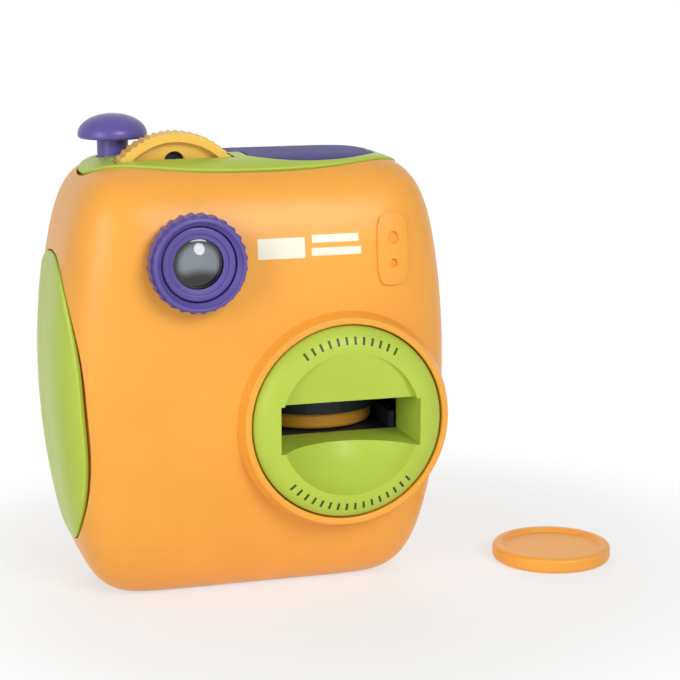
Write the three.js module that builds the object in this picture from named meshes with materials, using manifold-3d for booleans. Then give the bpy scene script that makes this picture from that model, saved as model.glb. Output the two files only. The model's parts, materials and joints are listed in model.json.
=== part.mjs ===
// Toy projector camera: a pillow-shaped toy with a slide projector and a disc launcher.
// Millimetres, +Z up, front towards -Y, +X to the right of someone who faces the front.
// The origin is the middle of the flat base that it stands on.

import * as THREE from 'three';
import { mergeVertices } from 'three/addons/utils/BufferGeometryUtils.js';
import Module from 'manifold-3d';

const wasm = await Module();
wasm.setup();

// Fits
const GAP = 0.3; // between pieces that touch
const PLAY = 0.5; // round a piece that runs in a guide

// Body
const BODY_WIDTH = 105;
const BODY_DEPTH = 63;
const BODY_HEIGHT = 115.2; // from the flat base to the crown
const BASE_CUT = 0.8; // how much of the round bottom is cut flat
const OUTLINE_POWER = 9.3; // squareness of the front outline
const DEPTH_POWER = 4.2; // squareness from front to back
const WAIST_RISE = 2.8; // widest and deepest place above the middle
const SIDE_BOW = 0.165; // share of the width that is drawn in towards the crown and the base
const REAR_BOW = 0.124; // the same at the back
const FRONT_BOW = 0.284; // the same at the front, below the waist only
const WALL = 2.8;
const SEAT = 1.4; // depth of the recess that a panel or a grip sits in
const PARTING_Y = 12; // where the front and rear shells meet

// Top panel and side grip
const PANEL_HALF_LENGTH = 42.5;
const PANEL_HALF_WIDTH = 21;
const PANEL_POWER = 2.6;
const PANEL_PROUD = 0.5;
const GRIP_DROP = 4.4; // its middle below the body's
const GRIP_HALF_HEIGHT = 38.2;
const GRIP_HALF_WIDTH = 25;
const GRIP_POWER = 2.4;
const GRIP_PROUD = 0.8;

// Raised pill pad on the front, with two dimples
const PAD_X = 33.2;
const PAD_DROP = 22.8; // its middle below the crown
const PAD_WIDTH = 8.7;
const PAD_HEIGHT = 18.7;
const PAD_PROUD = 0.8;
const DIMPLE_DEPTH = 1.2;
const DIMPLES = [
  { rise: 3, radius: 1.6 },
  { rise: -3.6, radius: 1.15 },
];

// Ejector
const EJECTOR_X = 19.7;
const EJECTOR_Z = 48.5;
const BEZEL_RADIUS = 25.3;
const BEZEL_FACE_RADIUS = 18.7; // flat middle of the domed bezel
const BEZEL_DOME = 4.3; // rise of the face over the bezel's edge
const BEZEL_WALL = 2.2;
const BEZEL_DEPTH = 7; // length of the bezel's rim in the collar
const COLLAR_WIDTH = 3;
const COLLAR_PROUD = 3.6;
const COLLAR_LIP = 1.4; // how far the bezel's edge sits below the collar's top
const COLLAR_CLEARANCE = 2.6; // between the collar's sleeve and the magazine
const SLOT_HEIGHT = 12.4;
const SLOT_DROP = 0.4; // slot's middle below the bezel's middle
const SCOOP_DEPTH = 11;
const POCKET_DEPTH = 2.5; // slope of the face above the slot

// Discs
const DISC_RADIUS = 16.5;
const DISC_THICKNESS = 4.2;
const DISC_RIM = 2.6;
const DISC_DISH = 1;
const DISC_EDGE = 1.1;
const STACKED_DISCS = 2; // above the one that is ready to go
const TABLE_DISC_X = 86;
const TABLE_DISC_Y = -14;

// Launcher
const LAUNCH_SETBACK = 31; // from the back to the middle of the discs
const MAGAZINE_WALL = 1.2;
const DECK_THICKNESS = 2;
const DECK_RAIL = 1.5;
const LEG = 4;
const STRIKER_WIDTH = 20;
const STRIKER_LENGTH = 9.5; // behind the middle of its curved front
const LUG_WIDTH = 4.4;
const LUG_PRONG = 3;
const ARM_LENGTH = 24; // also the striker's stroke, since the arm swings 30 degrees each way
const ARM_THICKNESS = 3;
const ARM_TIP = 3.2;
const ARM_PIN = 1.8;
const CRANK_LENGTH = 3.6; // also the button's travel
const CRANK_PIN = 1.4;
const CRANK_WALL = 1; // round the pin
const SHAFT_RADIUS = 2;
const HUB_RADIUS = 4.2;
const HALF_SWING = Math.PI / 6;
const BEARING_WIDTH = 4;

// Launch button
const BUTTON_X = -32.6;
const BUTTON_SETBACK = 26; // from the back
const CAP_RADIUS = 9.1;
const CAP_HEIGHT = 6.4;
const CAP_SKIRT = 1; // straight edge below the dome
const CAP_RISE = 10.8; // its top above the crown
const STEM_RADIUS = 4.1;
const STEM_LENGTH = 15;
const SOCKET_DEPTH = 9;
const ROD_RADIUS = 2.6;
const ROD_COLLAR = 5.2;
const ROD_COLLAR_HEIGHT = 1.6;
const FOOT_WIDTH = 5.4;
const GUIDE_Z = 56;
const GUIDE_THICKNESS = 3.5;
const GUIDE_HALF = 6.2; // half its depth, front to back
const SPRING_RADIUS = 4.2;
const SPRING_WIRE = 0.55;
const SPRING_CURLS = 6;
const SPRING_LENGTH = 20;

// Projector
const LENS_X = -19.4;
const LENS_DROP = 23.5; // its axis below the crown
const LENS_RADIUS = 6.8;
const LENS_THICKNESS = 3.2;
const LENS_BULGE = 1.6;
const CELL_WALL = 0.7;
const CELL_LIP = 0.4; // how far it holds the lens's edge
const CELL_FACE = 1; // thickness of that lip
const CELL_FLANGE = 9.4;
const CELL_FLANGE_HEIGHT = 2;
const CELL_RISE = 0.4; // its face in front of the ring's toothed band
const BARREL_WALL = 1;
const BARREL_FLANGE = 12.5;
const FLANGE_THICKNESS = 2;
const RING_RADIUS = 12.7;
const RING_TOOTH = 0.6;
const RING_TEETH = 28;
const RING_LENGTH = 4.8;
const RING_CHAMFER = 1; // at its back
const RING_STANDOFF = 0.9; // between the ring and the front wall
const LIP_RISE = 2.4; // the ring's smooth lip in front of its toothed band
const LIP_WIDTH = 1;
const LIP_ROUND = 0.5;
const FOCUS_TRAVEL = 2;
const CELL_GUIDE = 9; // length of the lens cell that stays in the barrel

// Slide wheel
const WHEEL_RADIUS = 19.3;
const WHEEL_WIDTH = 7;
const WHEEL_SETBACK = 40; // from the back to its middle
const WHEEL_RIM = 2.6;
const WHEEL_WEB = 2.2;
const WHEEL_TOOTH = 0.55;
const WHEEL_TEETH = 64;
const WHEEL_HUB = 4;
const AXLE_RADIUS = 1.8;
const AXLE_HEAD = 1;
const WINDOW_COUNT = 8;
const WINDOW_RADIUS = 2.8;
const WINDOW_CIRCLE = 11.3;
const FILM_THICKNESS = 0.5;

// Lamp and cells
const LAMP_RADIUS = 6;
const LAMP_WALL = 1.5;
const LAMP_DEPTH = 9;
const UPRIGHT = 2.4; // thickness of the plate that carries the axle and the lamp
const BRIDGE = 2.4;
const AXLE_WALL = 2.5; // of the plate over the axle
const LED_RADIUS = 2.5;
const BOARD_THICKNESS = 1.6;
const CONDENSER_THICKNESS = 2.4;
const CELL_RADIUS = 5.8;
const CELL_LENGTH = 5.4;
const CELL_COUNT = 3;
const POST_LENGTH = 8; // of the post for the door's screw
const POST_SETBACK = 1; // its end before the end of the cells
const POST_WALL = 1.5;
const POST_WEB = 2.4;
const CONTACT_THICKNESS = 1;
const CONTACT_HEIGHT = 3.4;
const DOOR_SIZE = 23;
const DOOR_CORNER = 4;
const DOOR_THICKNESS = 2;
const DOOR_SCREW_RISE = 8.6;
const DOOR_SCREW_SINK = 0.4; // head below the door's surface

// Switch
const SWITCH_X = -20;
const SWITCH_DROP = 49.2; // below the crown
const KNOB_WIDTH = 5.6;
const KNOB_HEIGHT = 4.2;
const KNOB_PROUD = 1.4;
const SWITCH_TRAVEL = 4;
const SWITCH_CORNER = 1;
const SWITCH_DEPTH = 6;
const SWITCH_EAR = 2;
const EAR_SETBACK = 3; // front of the ears behind the front of the switch
const FLANGE_OVERLAP = 1; // how far the knob's flange covers the slot past its travel
const KNOB_FLANGE = 1.2;
const KNOB_GROOVE = 0.8;
const KNOB_GROOVE_DEPTH = 0.6;

// Lid
const LID_X = 16.6;
const LID_HALF_LENGTH = 20;
const LID_HALF_WIDTH = 17.9;
const LID_POWER = 2.3;
const NOTCH_RADIUS = 3.4;
const NOTCH_OFFSET = 1.4; // its middle beyond the lid's end
const NOTCH_DISH = 1;
const KNUCKLE_RADIUS = 1.3;
const KNUCKLE_LENGTH = 10;
const KNUCKLE_Y = 3;
const HINGE_PIN = 0.6;
const HINGE_LUG = 3.6;

// Screws
const LOW_SCREW_X = 41.5;
const LOW_SCREW_Z = 18;
const HIGH_SCREW_X = 43;
const HIGH_SCREW_DROP = 19.2; // below the crown
const SCREW_HEAD = 2.6;
const SCREW_HEAD_HEIGHT = 1.8;
const SCREW_SHANK = 1.3;
const SCREW_LENGTH = 16;
const SCREW_TIP = 1.5;
const DOOR_SCREW_LENGTH = 9;
const SCREW_DEPTH = 5; // head below the rear surface
const BOSS_RADIUS = 4.2;
const BOSS_RIB = 2; // joins each boss to the side wall

// Facets
const SKIN_FACETS = { points: 36, rings: 12 };
const HOLLOW_FACETS = { points: 24, rings: 8 };
const FINE = 36;
const MEDIUM = 24;
const COARSE = 10;

// Derived places
const HALF_WIDTH = BODY_WIDTH / 2;
const HALF_DEPTH = BODY_DEPTH / 2;
const HALF_HEIGHT = (BODY_HEIGHT + BASE_CUT) / 2;
const BODY_Z = BODY_HEIGHT - HALF_HEIGHT;
const WAIST_Z = BODY_Z + WAIST_RISE;
const GRIP_Z = BODY_Z - GRIP_DROP;
const PAD_Z = BODY_HEIGHT - PAD_DROP;
const LENS_Z = BODY_HEIGHT - LENS_DROP;
const SWITCH_Z = BODY_HEIGHT - SWITCH_DROP;
const CAP_TOP_Z = BODY_HEIGHT + CAP_RISE;
const LAUNCH_X = EJECTOR_X;
const LAUNCH_Y = HALF_DEPTH - LAUNCH_SETBACK;
const BUTTON_Y = HALF_DEPTH - BUTTON_SETBACK;
const WHEEL_Y = HALF_DEPTH - WHEEL_SETBACK;
const FRONT_Y = -HALF_DEPTH;
const COLLAR_Y = FRONT_Y - COLLAR_PROUD;
const BEZEL_EDGE_Y = COLLAR_Y + COLLAR_LIP;
const BEZEL_FACE_Y = BEZEL_EDGE_Y - BEZEL_DOME;
const SLOT_FLOOR = EJECTOR_Z - SLOT_DROP - SLOT_HEIGHT / 2;
const SLOT_ROOF = SLOT_FLOOR + SLOT_HEIGHT;
const DECK_UNDER = SLOT_FLOOR - DECK_THICKNESS;
const DISC_Z = SLOT_FLOOR + GAP;
const MAGAZINE_BORE = DISC_RADIUS + PLAY;
const MAGAZINE_RADIUS = MAGAZINE_BORE + MAGAZINE_WALL;
const MAGAZINE_Z = DISC_Z + DISC_THICKNESS + GAP;
const TUNNEL_END_Y = LAUNCH_Y - MAGAZINE_RADIUS - GAP;
const COLLAR_BACK_Y = LAUNCH_Y - MAGAZINE_RADIUS - COLLAR_CLEARANCE;
const SHAFT_Y = BUTTON_Y + CRANK_LENGTH;
const SHAFT_Z = DECK_UNDER - PLAY - ARM_TIP - ARM_LENGTH;
const ARM_PIN_Y = SHAFT_Y + ARM_LENGTH * Math.sin(HALF_SWING);
const ARM_PIN_Z = SHAFT_Z + ARM_LENGTH * Math.cos(HALF_SWING);
const ARM_X = LAUNCH_X + LUG_WIDTH / 2 + GAP;
const CRANK_PIN_Z = SHAFT_Z + CRANK_LENGTH * Math.sin(HALF_SWING);
const CRANK_X = BUTTON_X + FOOT_WIDTH / 2 + GAP;
const WHEEL_Z = LENS_Z + WINDOW_CIRCLE;
const WHEEL_FRONT = WHEEL_Y - WHEEL_WIDTH / 2;
const WHEEL_BACK = WHEEL_Y + WHEEL_WIDTH / 2;
const LAMP_FRONT = WHEEL_BACK + 2 * GAP;
const LAMP_BACK = LAMP_FRONT + LAMP_DEPTH;
const CELLS_Y = LAMP_BACK + BOARD_THICKNESS + 2 * GAP;
const CELLS_END = CELLS_Y + CELL_COUNT * (CELL_LENGTH + GAP);
const HINGE_X = LID_X - LID_HALF_LENGTH + KNUCKLE_RADIUS + GAP;
const HINGE_Z = BODY_HEIGHT + PANEL_PROUD - KNUCKLE_RADIUS;

// Colours and finishes
const plastic = (color, roughness = 0.45) => new THREE.MeshStandardMaterial({
  color, roughness, metalness: 0,
});
const metal = (color, roughness = 0.3) => new THREE.MeshStandardMaterial({ color, roughness, metalness: 1 });
const ORANGE = plastic(0xf6a53c);
const GREEN = plastic(0xa9c548);
const PURPLE = plastic(0x5d4fa0);
const YELLOW = plastic(0xf0bb55);
const BLACK = plastic(0x25252a);
const WHITE = plastic(0xe6e4dc);
const GLASS = plastic(0xb4c0c8, 0.05);
const STEEL = metal(0xb9bcc0);

// A closed three.js geometry as a solid that can be joined and cut.
function solid(geometry) {
  const bare = new THREE.BufferGeometry();
  bare.setAttribute('position', geometry.getAttribute('position'));
  if (geometry.index) bare.setIndex(geometry.index);
  const merged = mergeVertices(bare, 1e-4);
  const corners = merged.index.array;
  const points = merged.getAttribute('position');
  const triangles = [];
  let volume = 0;
  const [a, b, c] = [new THREE.Vector3(), new THREE.Vector3(), new THREE.Vector3()];
  for (let i = 0; i < corners.length; i += 3) {
    const [p, q, r] = [corners[i], corners[i + 1], corners[i + 2]];
    if (p === q || q === r || r === p) continue;
    a.fromBufferAttribute(points, p);
    b.fromBufferAttribute(points, q);
    c.fromBufferAttribute(points, r);
    volume += a.dot(b.cross(c));
    triangles.push([p, q, r]);
  }
  const outward = volume > 0 ? triangles : triangles.map(([p, q, r]) => [p, r, q]);
  return new wasm.Manifold(new wasm.Mesh({
    numProp: 3,
    vertProperties: Float32Array.from(points.array),
    triVerts: Uint32Array.from(outward.flat()),
  }));
}

// A finished solid as a three.js geometry.
function geometryOf(body) {
  const mesh = body.getMesh();
  const geometry = new THREE.BufferGeometry();
  geometry.setAttribute('position', new THREE.BufferAttribute(Float32Array.from(mesh.vertProperties), 3));
  geometry.setIndex(new THREE.BufferAttribute(Uint32Array.from(mesh.triVerts), 1));
  geometry.computeVertexNormals();
  return geometry;
}

function piece(parent, name, body, material) {
  const mesh = new THREE.Mesh(geometryOf(body), material);
  mesh.name = name;
  parent.add(mesh);
  return mesh;
}

const join = (...bodies) => bodies.reduce((all, body) => all.add(body));

// Outlines
function closedShape(count, pointAt) {
  const points = Array.from({ length: count }, (_, i) => pointAt((2 * Math.PI * i) / count, i));
  return new THREE.Shape(points);
}

const signedPower = (value, power) => Math.sign(value) * Math.abs(value) ** power;

function superEllipse(halfX, halfY, power, x = 0, y = 0) {
  return closedShape(FINE, (angle) => new THREE.Vector2(
    x + halfX * signedPower(Math.cos(angle), 2 / power),
    y + halfY * signedPower(Math.sin(angle), 2 / power),
  ));
}

function circle(radius, x = 0, y = 0, count = MEDIUM) {
  return closedShape(count, (angle) => new THREE.Vector2(
    x + radius * Math.cos(angle), y + radius * Math.sin(angle),
  ));
}

function roundedBox(width, height, corner, x = 0, y = 0) {
  const [w, h] = [width / 2 - corner, height / 2 - corner];
  return new THREE.Shape()
    .absarc(x + w, y + h, corner, 0, Math.PI / 2)
    .absarc(x - w, y + h, corner, Math.PI / 2, Math.PI)
    .absarc(x - w, y - h, corner, Math.PI, 1.5 * Math.PI)
    .absarc(x + w, y - h, corner, 1.5 * Math.PI, 2 * Math.PI);
}

// Saw teeth: each tooth rises slowly and drops at once.
function sawWheel(radius, depth, teeth) {
  const crest = 0.35;
  return closedShape(2 * teeth, (_, i) => {
    const angle = (2 * Math.PI * (Math.floor(i / 2) + (i % 2 ? crest : 0))) / teeth;
    const r = i % 2 ? radius : radius - depth;
    return new THREE.Vector2(r * Math.cos(angle), r * Math.sin(angle));
  });
}

// A link between two round ends, the first at the origin and the second at (0, length).
function link(length, rootRadius, tipRadius) {
  const slant = Math.asin((rootRadius - tipRadius) / length);
  return new THREE.Shape()
    .absarc(0, 0, rootRadius, Math.PI - slant, 2 * Math.PI + slant)
    .absarc(0, length, tipRadius, slant, Math.PI - slant);
}

// Straight solids along each axis
const extrude = (shape, depth, segments = 6) => new THREE.ExtrudeGeometry(shape, {
  depth, bevelEnabled: false, curveSegments: segments,
});
const BASIS_X = new THREE.Matrix4().makeBasis(
  new THREE.Vector3(0, 1, 0), new THREE.Vector3(0, 0, 1), new THREE.Vector3(1, 0, 0),
);
const BASIS_Y = new THREE.Matrix4().makeBasis(
  new THREE.Vector3(1, 0, 0), new THREE.Vector3(0, 0, 1), new THREE.Vector3(0, -1, 0),
);
const prismX = (shape, x0, x1) => solid(extrude(shape, x1 - x0).applyMatrix4(BASIS_X).translate(x0, 0, 0));
const prismY = (shape, y0, y1) => solid(extrude(shape, y1 - y0).applyMatrix4(BASIS_Y).translate(0, y1, 0));
const prismZ = (shape, z0, z1) => solid(extrude(shape, z1 - z0).translate(0, 0, z0));

function block([x0, x1], [y0, y1], [z0, z1]) {
  const box = new THREE.BoxGeometry(x1 - x0, y1 - y0, z1 - z0);
  return solid(box.translate((x0 + x1) / 2, (y0 + y1) / 2, (z0 + z1) / 2));
}

// Turned solids from a profile of [radius, height] points
function lathe(profile, segments) {
  return new THREE.LatheGeometry(profile.map(([r, h]) => new THREE.Vector2(r, h)), segments);
}
const turnedZ = (profile, segments = MEDIUM) => solid(lathe(profile, segments).rotateX(Math.PI / 2));
const turnedY = (profile, segments = MEDIUM) => solid(lathe(profile, segments));
const rod = (radius, from, to) => [[0, from], [radius, from], [radius, to], [0, to]];
const sleeve = (inner, outer, from, to) => [
  [inner, from], [outer, from], [outer, to], [inner, to], [inner, from],
];

// Points of a round corner from one angle to another, for a profile.
function corner(radius, height, bend, from, to, steps = 3) {
  return Array.from({ length: steps + 1 }, (_, i) => {
    const angle = from + ((to - from) * i) / steps;
    return [radius + bend * Math.cos(angle), height + bend * Math.sin(angle)];
  });
}

// How much the body is drawn in above and below its waist.
const bow = (z) => ((z - WAIST_Z) / HALF_HEIGHT) ** 2;
const widthShare = (z) => 1 - SIDE_BOW * bow(z);
const rearShare = (z) => 1 - REAR_BOW * bow(z);
const frontShare = (z) => 1 - (z < WAIST_Z ? FRONT_BOW * bow(z) : 0);

// A point of the front outline at a share of the way round, with the closest steps at its corners.
function outlinePoint(share) {
  const side = Math.floor(4 * share);
  const along = Math.sin((Math.PI / 2) * (2 * (4 * share - side) - 1));
  const [u, v] = [[1, along], [-along, 1], [-1, -along], [along, -1]][side];
  const norm = (Math.abs(u) ** OUTLINE_POWER + Math.abs(v) ** OUTLINE_POWER) ** (-1 / OUTLINE_POWER);
  return [u * norm, v * norm];
}

// The pillow: rings of one super-ellipse that swell and close again from front to back.
const pillows = new Map();
function pillow(offset) {
  if (!pillows.has(offset)) pillows.set(offset, solid(pillowGeometry(offset)));
  return pillows.get(offset);
}

function pillowGeometry(offset) {
  const { points, rings } = offset > -WALL ? SKIN_FACETS : HOLLOW_FACETS;
  const [a, b, c] = [HALF_WIDTH + offset, HALF_DEPTH + offset, HALF_HEIGHT + offset];
  const position = [0, -b * frontShare(BODY_Z), BODY_Z];
  for (let ring = 1; ring < rings; ring += 1) {
    const lift = -Math.PI / 2 + (Math.PI * ring) / rings;
    const swell = Math.cos(lift) ** (2 / DEPTH_POWER);
    const y = b * signedPower(Math.sin(lift), 2 / DEPTH_POWER);
    for (let i = 0; i < points; i += 1) {
      const [u, v] = outlinePoint(i / points);
      const z = BODY_Z + c * swell * v;
      position.push(a * swell * u * widthShare(z), y * (y > 0 ? rearShare(z) : frontShare(z)), z);
    }
  }
  position.push(0, b * rearShare(BODY_Z), BODY_Z);
  const rear = position.length / 3 - 1;
  const at = (ring, i) => 1 + (ring - 1) * points + (i % points);
  const index = [];
  for (let i = 0; i < points; i += 1) {
    index.push(0, at(1, i), at(1, i + 1));
    for (let ring = 1; ring < rings - 1; ring += 1) {
      index.push(at(ring, i), at(ring + 1, i), at(ring + 1, i + 1));
      index.push(at(ring, i), at(ring + 1, i + 1), at(ring, i + 1));
    }
    index.push(at(rings - 1, i), rear, at(rings - 1, i + 1));
  }
  const geometry = new THREE.BufferGeometry();
  geometry.setAttribute('position', new THREE.Float32BufferAttribute(position, 3));
  geometry.setIndex(index);
  return geometry;
}

// A layer of the pillow between two offsets, and what fits in the hollow body.
const layer = (outer, inner) => pillow(outer).subtract(pillow(inner));
const cavity = () => pillow(-WALL - GAP);

// Where the pillow's front and rear surfaces are at a place seen from the front.
function halfDepth(x, z) {
  const across = Math.abs(x / (HALF_WIDTH * widthShare(z))) ** OUTLINE_POWER;
  const up = Math.abs((z - BODY_Z) / HALF_HEIGHT) ** OUTLINE_POWER;
  return HALF_DEPTH * (1 - (across + up) ** (DEPTH_POWER / OUTLINE_POWER)) ** (1 / DEPTH_POWER);
}
const frontY = (x, z) => -halfDepth(x, z) * frontShare(z);
const rearY = (x, z) => halfDepth(x, z) * rearShare(z);
function crownZ(x) {
  const across = Math.abs(x / (HALF_WIDTH * widthShare(BODY_HEIGHT))) ** OUTLINE_POWER;
  return BODY_Z + HALF_HEIGHT * (1 - across) ** (1 / OUTLINE_POWER);
}

// Outlines of the pieces that are let into the body
const reach = 2 * BODY_HEIGHT;
const panelOutline = (grow) => prismZ(
  superEllipse(PANEL_HALF_LENGTH + grow, PANEL_HALF_WIDTH + grow, PANEL_POWER), BODY_Z, reach,
);
const gripOutline = (grow) => prismX(
  superEllipse(GRIP_HALF_WIDTH + grow, GRIP_HALF_HEIGHT + grow, GRIP_POWER, 0, GRIP_Z),
  -reach, -HALF_WIDTH / 2,
);
const doorOutline = (grow) => prismY(
  roundedBox(DOOR_SIZE + 2 * grow, DOOR_SIZE + 2 * grow, DOOR_CORNER, LENS_X, LENS_Z), HALF_DEPTH / 2, reach,
);
const wheelRoom = rod(WHEEL_RADIUS + 2 * GAP, WHEEL_FRONT - 2 * GAP, WHEEL_BACK + 2 * GAP);
const wheelWay = () => solid(lathe(wheelRoom, FINE).translate(LENS_X, 0, WHEEL_Z));
const stemWay = (play) => prismZ(circle(STEM_RADIUS + play, BUTTON_X, BUTTON_Y), BODY_Z, reach);

// The lid's outline: an oval with a straight hinge side and a middle knuckle.
// A finger notch is cut into its end.
const notchX = LID_X + LID_HALF_LENGTH + NOTCH_OFFSET;
const notch = () => prismZ(circle(NOTCH_RADIUS, notchX, LAUNCH_Y), BODY_Z, reach);
function lidOutline(grow) {
  const edge = superEllipse(LID_HALF_LENGTH + grow, LID_HALF_WIDTH + grow, LID_POWER, LID_X, LAUNCH_Y);
  const oval = prismZ(edge, BODY_Z, reach);
  const straight = HINGE_X + KNUCKLE_RADIUS + 2 * (GAP - grow);
  return oval.intersect(block([straight, reach], [-reach, reach], [0, reach]));
}
const knuckleBay = (grow) => block(
  [HINGE_X - (grow ? KNUCKLE_RADIUS + grow : 0), HINGE_X + KNUCKLE_RADIUS + 3 * GAP],
  [KNUCKLE_Y - KNUCKLE_LENGTH / 2 - grow, KNUCKLE_Y + KNUCKLE_LENGTH / 2 + grow], [BODY_Z, reach],
);
function hingeRod(radius, length) {
  const profile = rod(radius, KNUCKLE_Y - length / 2, KNUCKLE_Y + length / 2);
  return solid(lathe(profile, COARSE).translate(HINGE_X, 0, HINGE_Z));
}
const hingeLength = KNUCKLE_LENGTH + 2 * (HINGE_LUG + GAP);

// Screw places on the shells
const screwPlaces = [[LOW_SCREW_X, LOW_SCREW_Z], [HIGH_SCREW_X, BODY_HEIGHT - HIGH_SCREW_DROP]]
  .flatMap(([x, z]) => [-x, x].map((side) => ({ x: side, z, y: rearY(side, z) - SCREW_DEPTH })));
const boreY = (radius, { x, z }, y0, y1) => prismY(circle(radius, x, z, COARSE), y0, y1);

function shells(group) {
  const wall = layer(0, -WALL);
  const recess = layer(2 * WALL, -SEAT);
  const panelSeat = recess.intersect(panelOutline(GAP));
  const gripSeat = recess.intersect(gripOutline(GAP));
  const floor = block([-reach, reach], [-reach, reach], [-reach, 0]);
  const mouth = prismZ(circle(MAGAZINE_BORE, LAUNCH_X, LAUNCH_Y, FINE), BODY_Z, reach);
  const hingeWindow = block(
    [HINGE_X - KNUCKLE_RADIUS - 2 * GAP, HINGE_X + KNUCKLE_RADIUS + 2 * GAP],
    [KNUCKLE_Y - hingeLength / 2 - GAP, KNUCKLE_Y + hingeLength / 2 + GAP], [BODY_Z, reach],
  );
  const cuts = join(panelSeat, gripSeat, floor, mouth, hingeWindow, wheelWay(), stemWay(PLAY));
  const bossBody = pillow(-SEAT - GAP);
  const bosses = (y0, y1) => join(...screwPlaces.map((place) => {
    const side = [place.x, Math.sign(place.x) * reach].sort((a, b) => a - b);
    const rib = block(side, [y0, y1], [place.z - BOSS_RIB / 2, place.z + BOSS_RIB / 2]);
    return boreY(BOSS_RADIUS, place, y0, y1).add(rib);
  })).intersect(bossBody);

  const front = block([-reach, reach], [-reach, PARTING_Y - GAP / 2], [-reach, reach]);
  const screwTip = PARTING_Y - SCREW_LENGTH / 2;
  const blindBores = screwPlaces.map((place) => boreY(SCREW_SHANK + GAP, place, screwTip - PLAY, reach));
  const frontBosses = bosses(screwTip - 2 * PLAY, PARTING_Y - GAP / 2);
  const frontShell = join(wall.intersect(front), frontBosses, collar(), pad())
    .subtract(join(cuts, ejectorBore(), lensHole(), dimples(), ...blindBores));
  piece(group, 'front_shell', frontShell, ORANGE);

  const rear = block([-reach, reach], [PARTING_Y + GAP / 2, reach], [-reach, reach]);
  const rearBosses = bosses(PARTING_Y + GAP / 2, reach);
  const screwBores = screwPlaces.flatMap((place) => [
    boreY(SCREW_SHANK + GAP, place, 0, reach),
    boreY(SCREW_HEAD + GAP, place, place.y - SCREW_HEAD_HEIGHT - GAP, reach),
  ]);
  const rearShell = join(wall.intersect(rear), rearBosses, switchPosts())
    .subtract(join(cuts, doorOutline(GAP), switchSlot(), ...screwBores));
  piece(group, 'rear_shell', rearShell, ORANGE);
}

// Collar round the ejector: a raised ring with a round top, and its sleeve through the wall.
function collar() {
  const [inner, outer] = [BEZEL_RADIUS - GAP, BEZEL_RADIUS + GAP + COLLAR_WIDTH];
  const bend = COLLAR_WIDTH * 0.45;
  const back = COLLAR_BACK_Y;
  const top = corner(outer - bend, COLLAR_Y + bend, bend, 0, -Math.PI / 2);
  const profile = [[inner, back], [outer, back], ...top, [inner, COLLAR_Y + bend / 2], [inner, back]];
  return solid(lathe(profile, FINE).translate(EJECTOR_X, 0, EJECTOR_Z));
}
const ejectorBore = () => prismY(circle(BEZEL_RADIUS + GAP, EJECTOR_X, EJECTOR_Z, FINE), -reach, 0);
const lensHole = () => prismY(circle(barrelRadius + GAP, LENS_X, LENS_Z), -reach, 0);

// Raised pad on the front and its two blind dimples.
const padShape = roundedBox(PAD_WIDTH, PAD_HEIGHT, PAD_WIDTH / 2 - GAP, PAD_X, PAD_Z);
const padOutline = () => prismY(padShape, -reach, 0);
const pad = () => layer(PAD_PROUD, -WALL / 2).intersect(padOutline());
function dimples() {
  return join(...DIMPLES.map(({ rise, radius }) => {
    const z = PAD_Z + rise;
    const bottom = frontY(PAD_X, z) - PAD_PROUD + DIMPLE_DEPTH;
    return prismY(circle(radius, PAD_X, z, COARSE), -reach, bottom);
  }));
}

function panels(group) {
  const skin = (proud) => layer(proud, GAP - SEAT);
  const lugs = [-1, 1].map((side) => {
    const near = KNUCKLE_Y + side * (KNUCKLE_LENGTH / 2 + GAP);
    const far = near + side * HINGE_LUG;
    return block(
      [HINGE_X - KNUCKLE_RADIUS - GAP, HINGE_X + KNUCKLE_RADIUS], [Math.min(near, far), Math.max(near, far)],
      [HINGE_Z - KNUCKLE_RADIUS, HINGE_Z + PANEL_PROUD],
    );
  });
  const dishRadius = (NOTCH_RADIUS ** 2 + NOTCH_DISH ** 2) / (2 * NOTCH_DISH);
  const dishZ = crownZ(notchX) + PANEL_PROUD + dishRadius - NOTCH_DISH;
  const dish = solid(new THREE.SphereGeometry(dishRadius, MEDIUM, COARSE).translate(notchX, LAUNCH_Y, dishZ));
  const plate = skin(PANEL_PROUD).intersect(panelOutline(0)).subtract(join(lidOutline(GAP), knuckleBay(GAP)));
  const topPanel = join(plate, ...lugs)
    .subtract(join(wheelWay(), stemWay(GAP + GAP / 3), hingeRod(HINGE_PIN + GAP, hingeLength), dish));
  piece(group, 'top_panel', topPanel, GREEN);
  piece(group, 'left_grip', skin(GRIP_PROUD).intersect(gripOutline(0)), GREEN);
}

function lid(group) {
  const skin = layer(PANEL_PROUD, GAP - SEAT);
  const plate = skin.intersect(join(lidOutline(0), knuckleBay(0))).subtract(notch());
  const hinged = join(plate, hingeRod(KNUCKLE_RADIUS, KNUCKLE_LENGTH))
    .subtract(hingeRod(HINGE_PIN + GAP, hingeLength));
  piece(group, 'loading_lid', hinged, PURPLE);
  piece(group, 'lid_hinge_pin', hingeRod(HINGE_PIN, hingeLength - 2 * GAP), STEEL);
}

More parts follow.
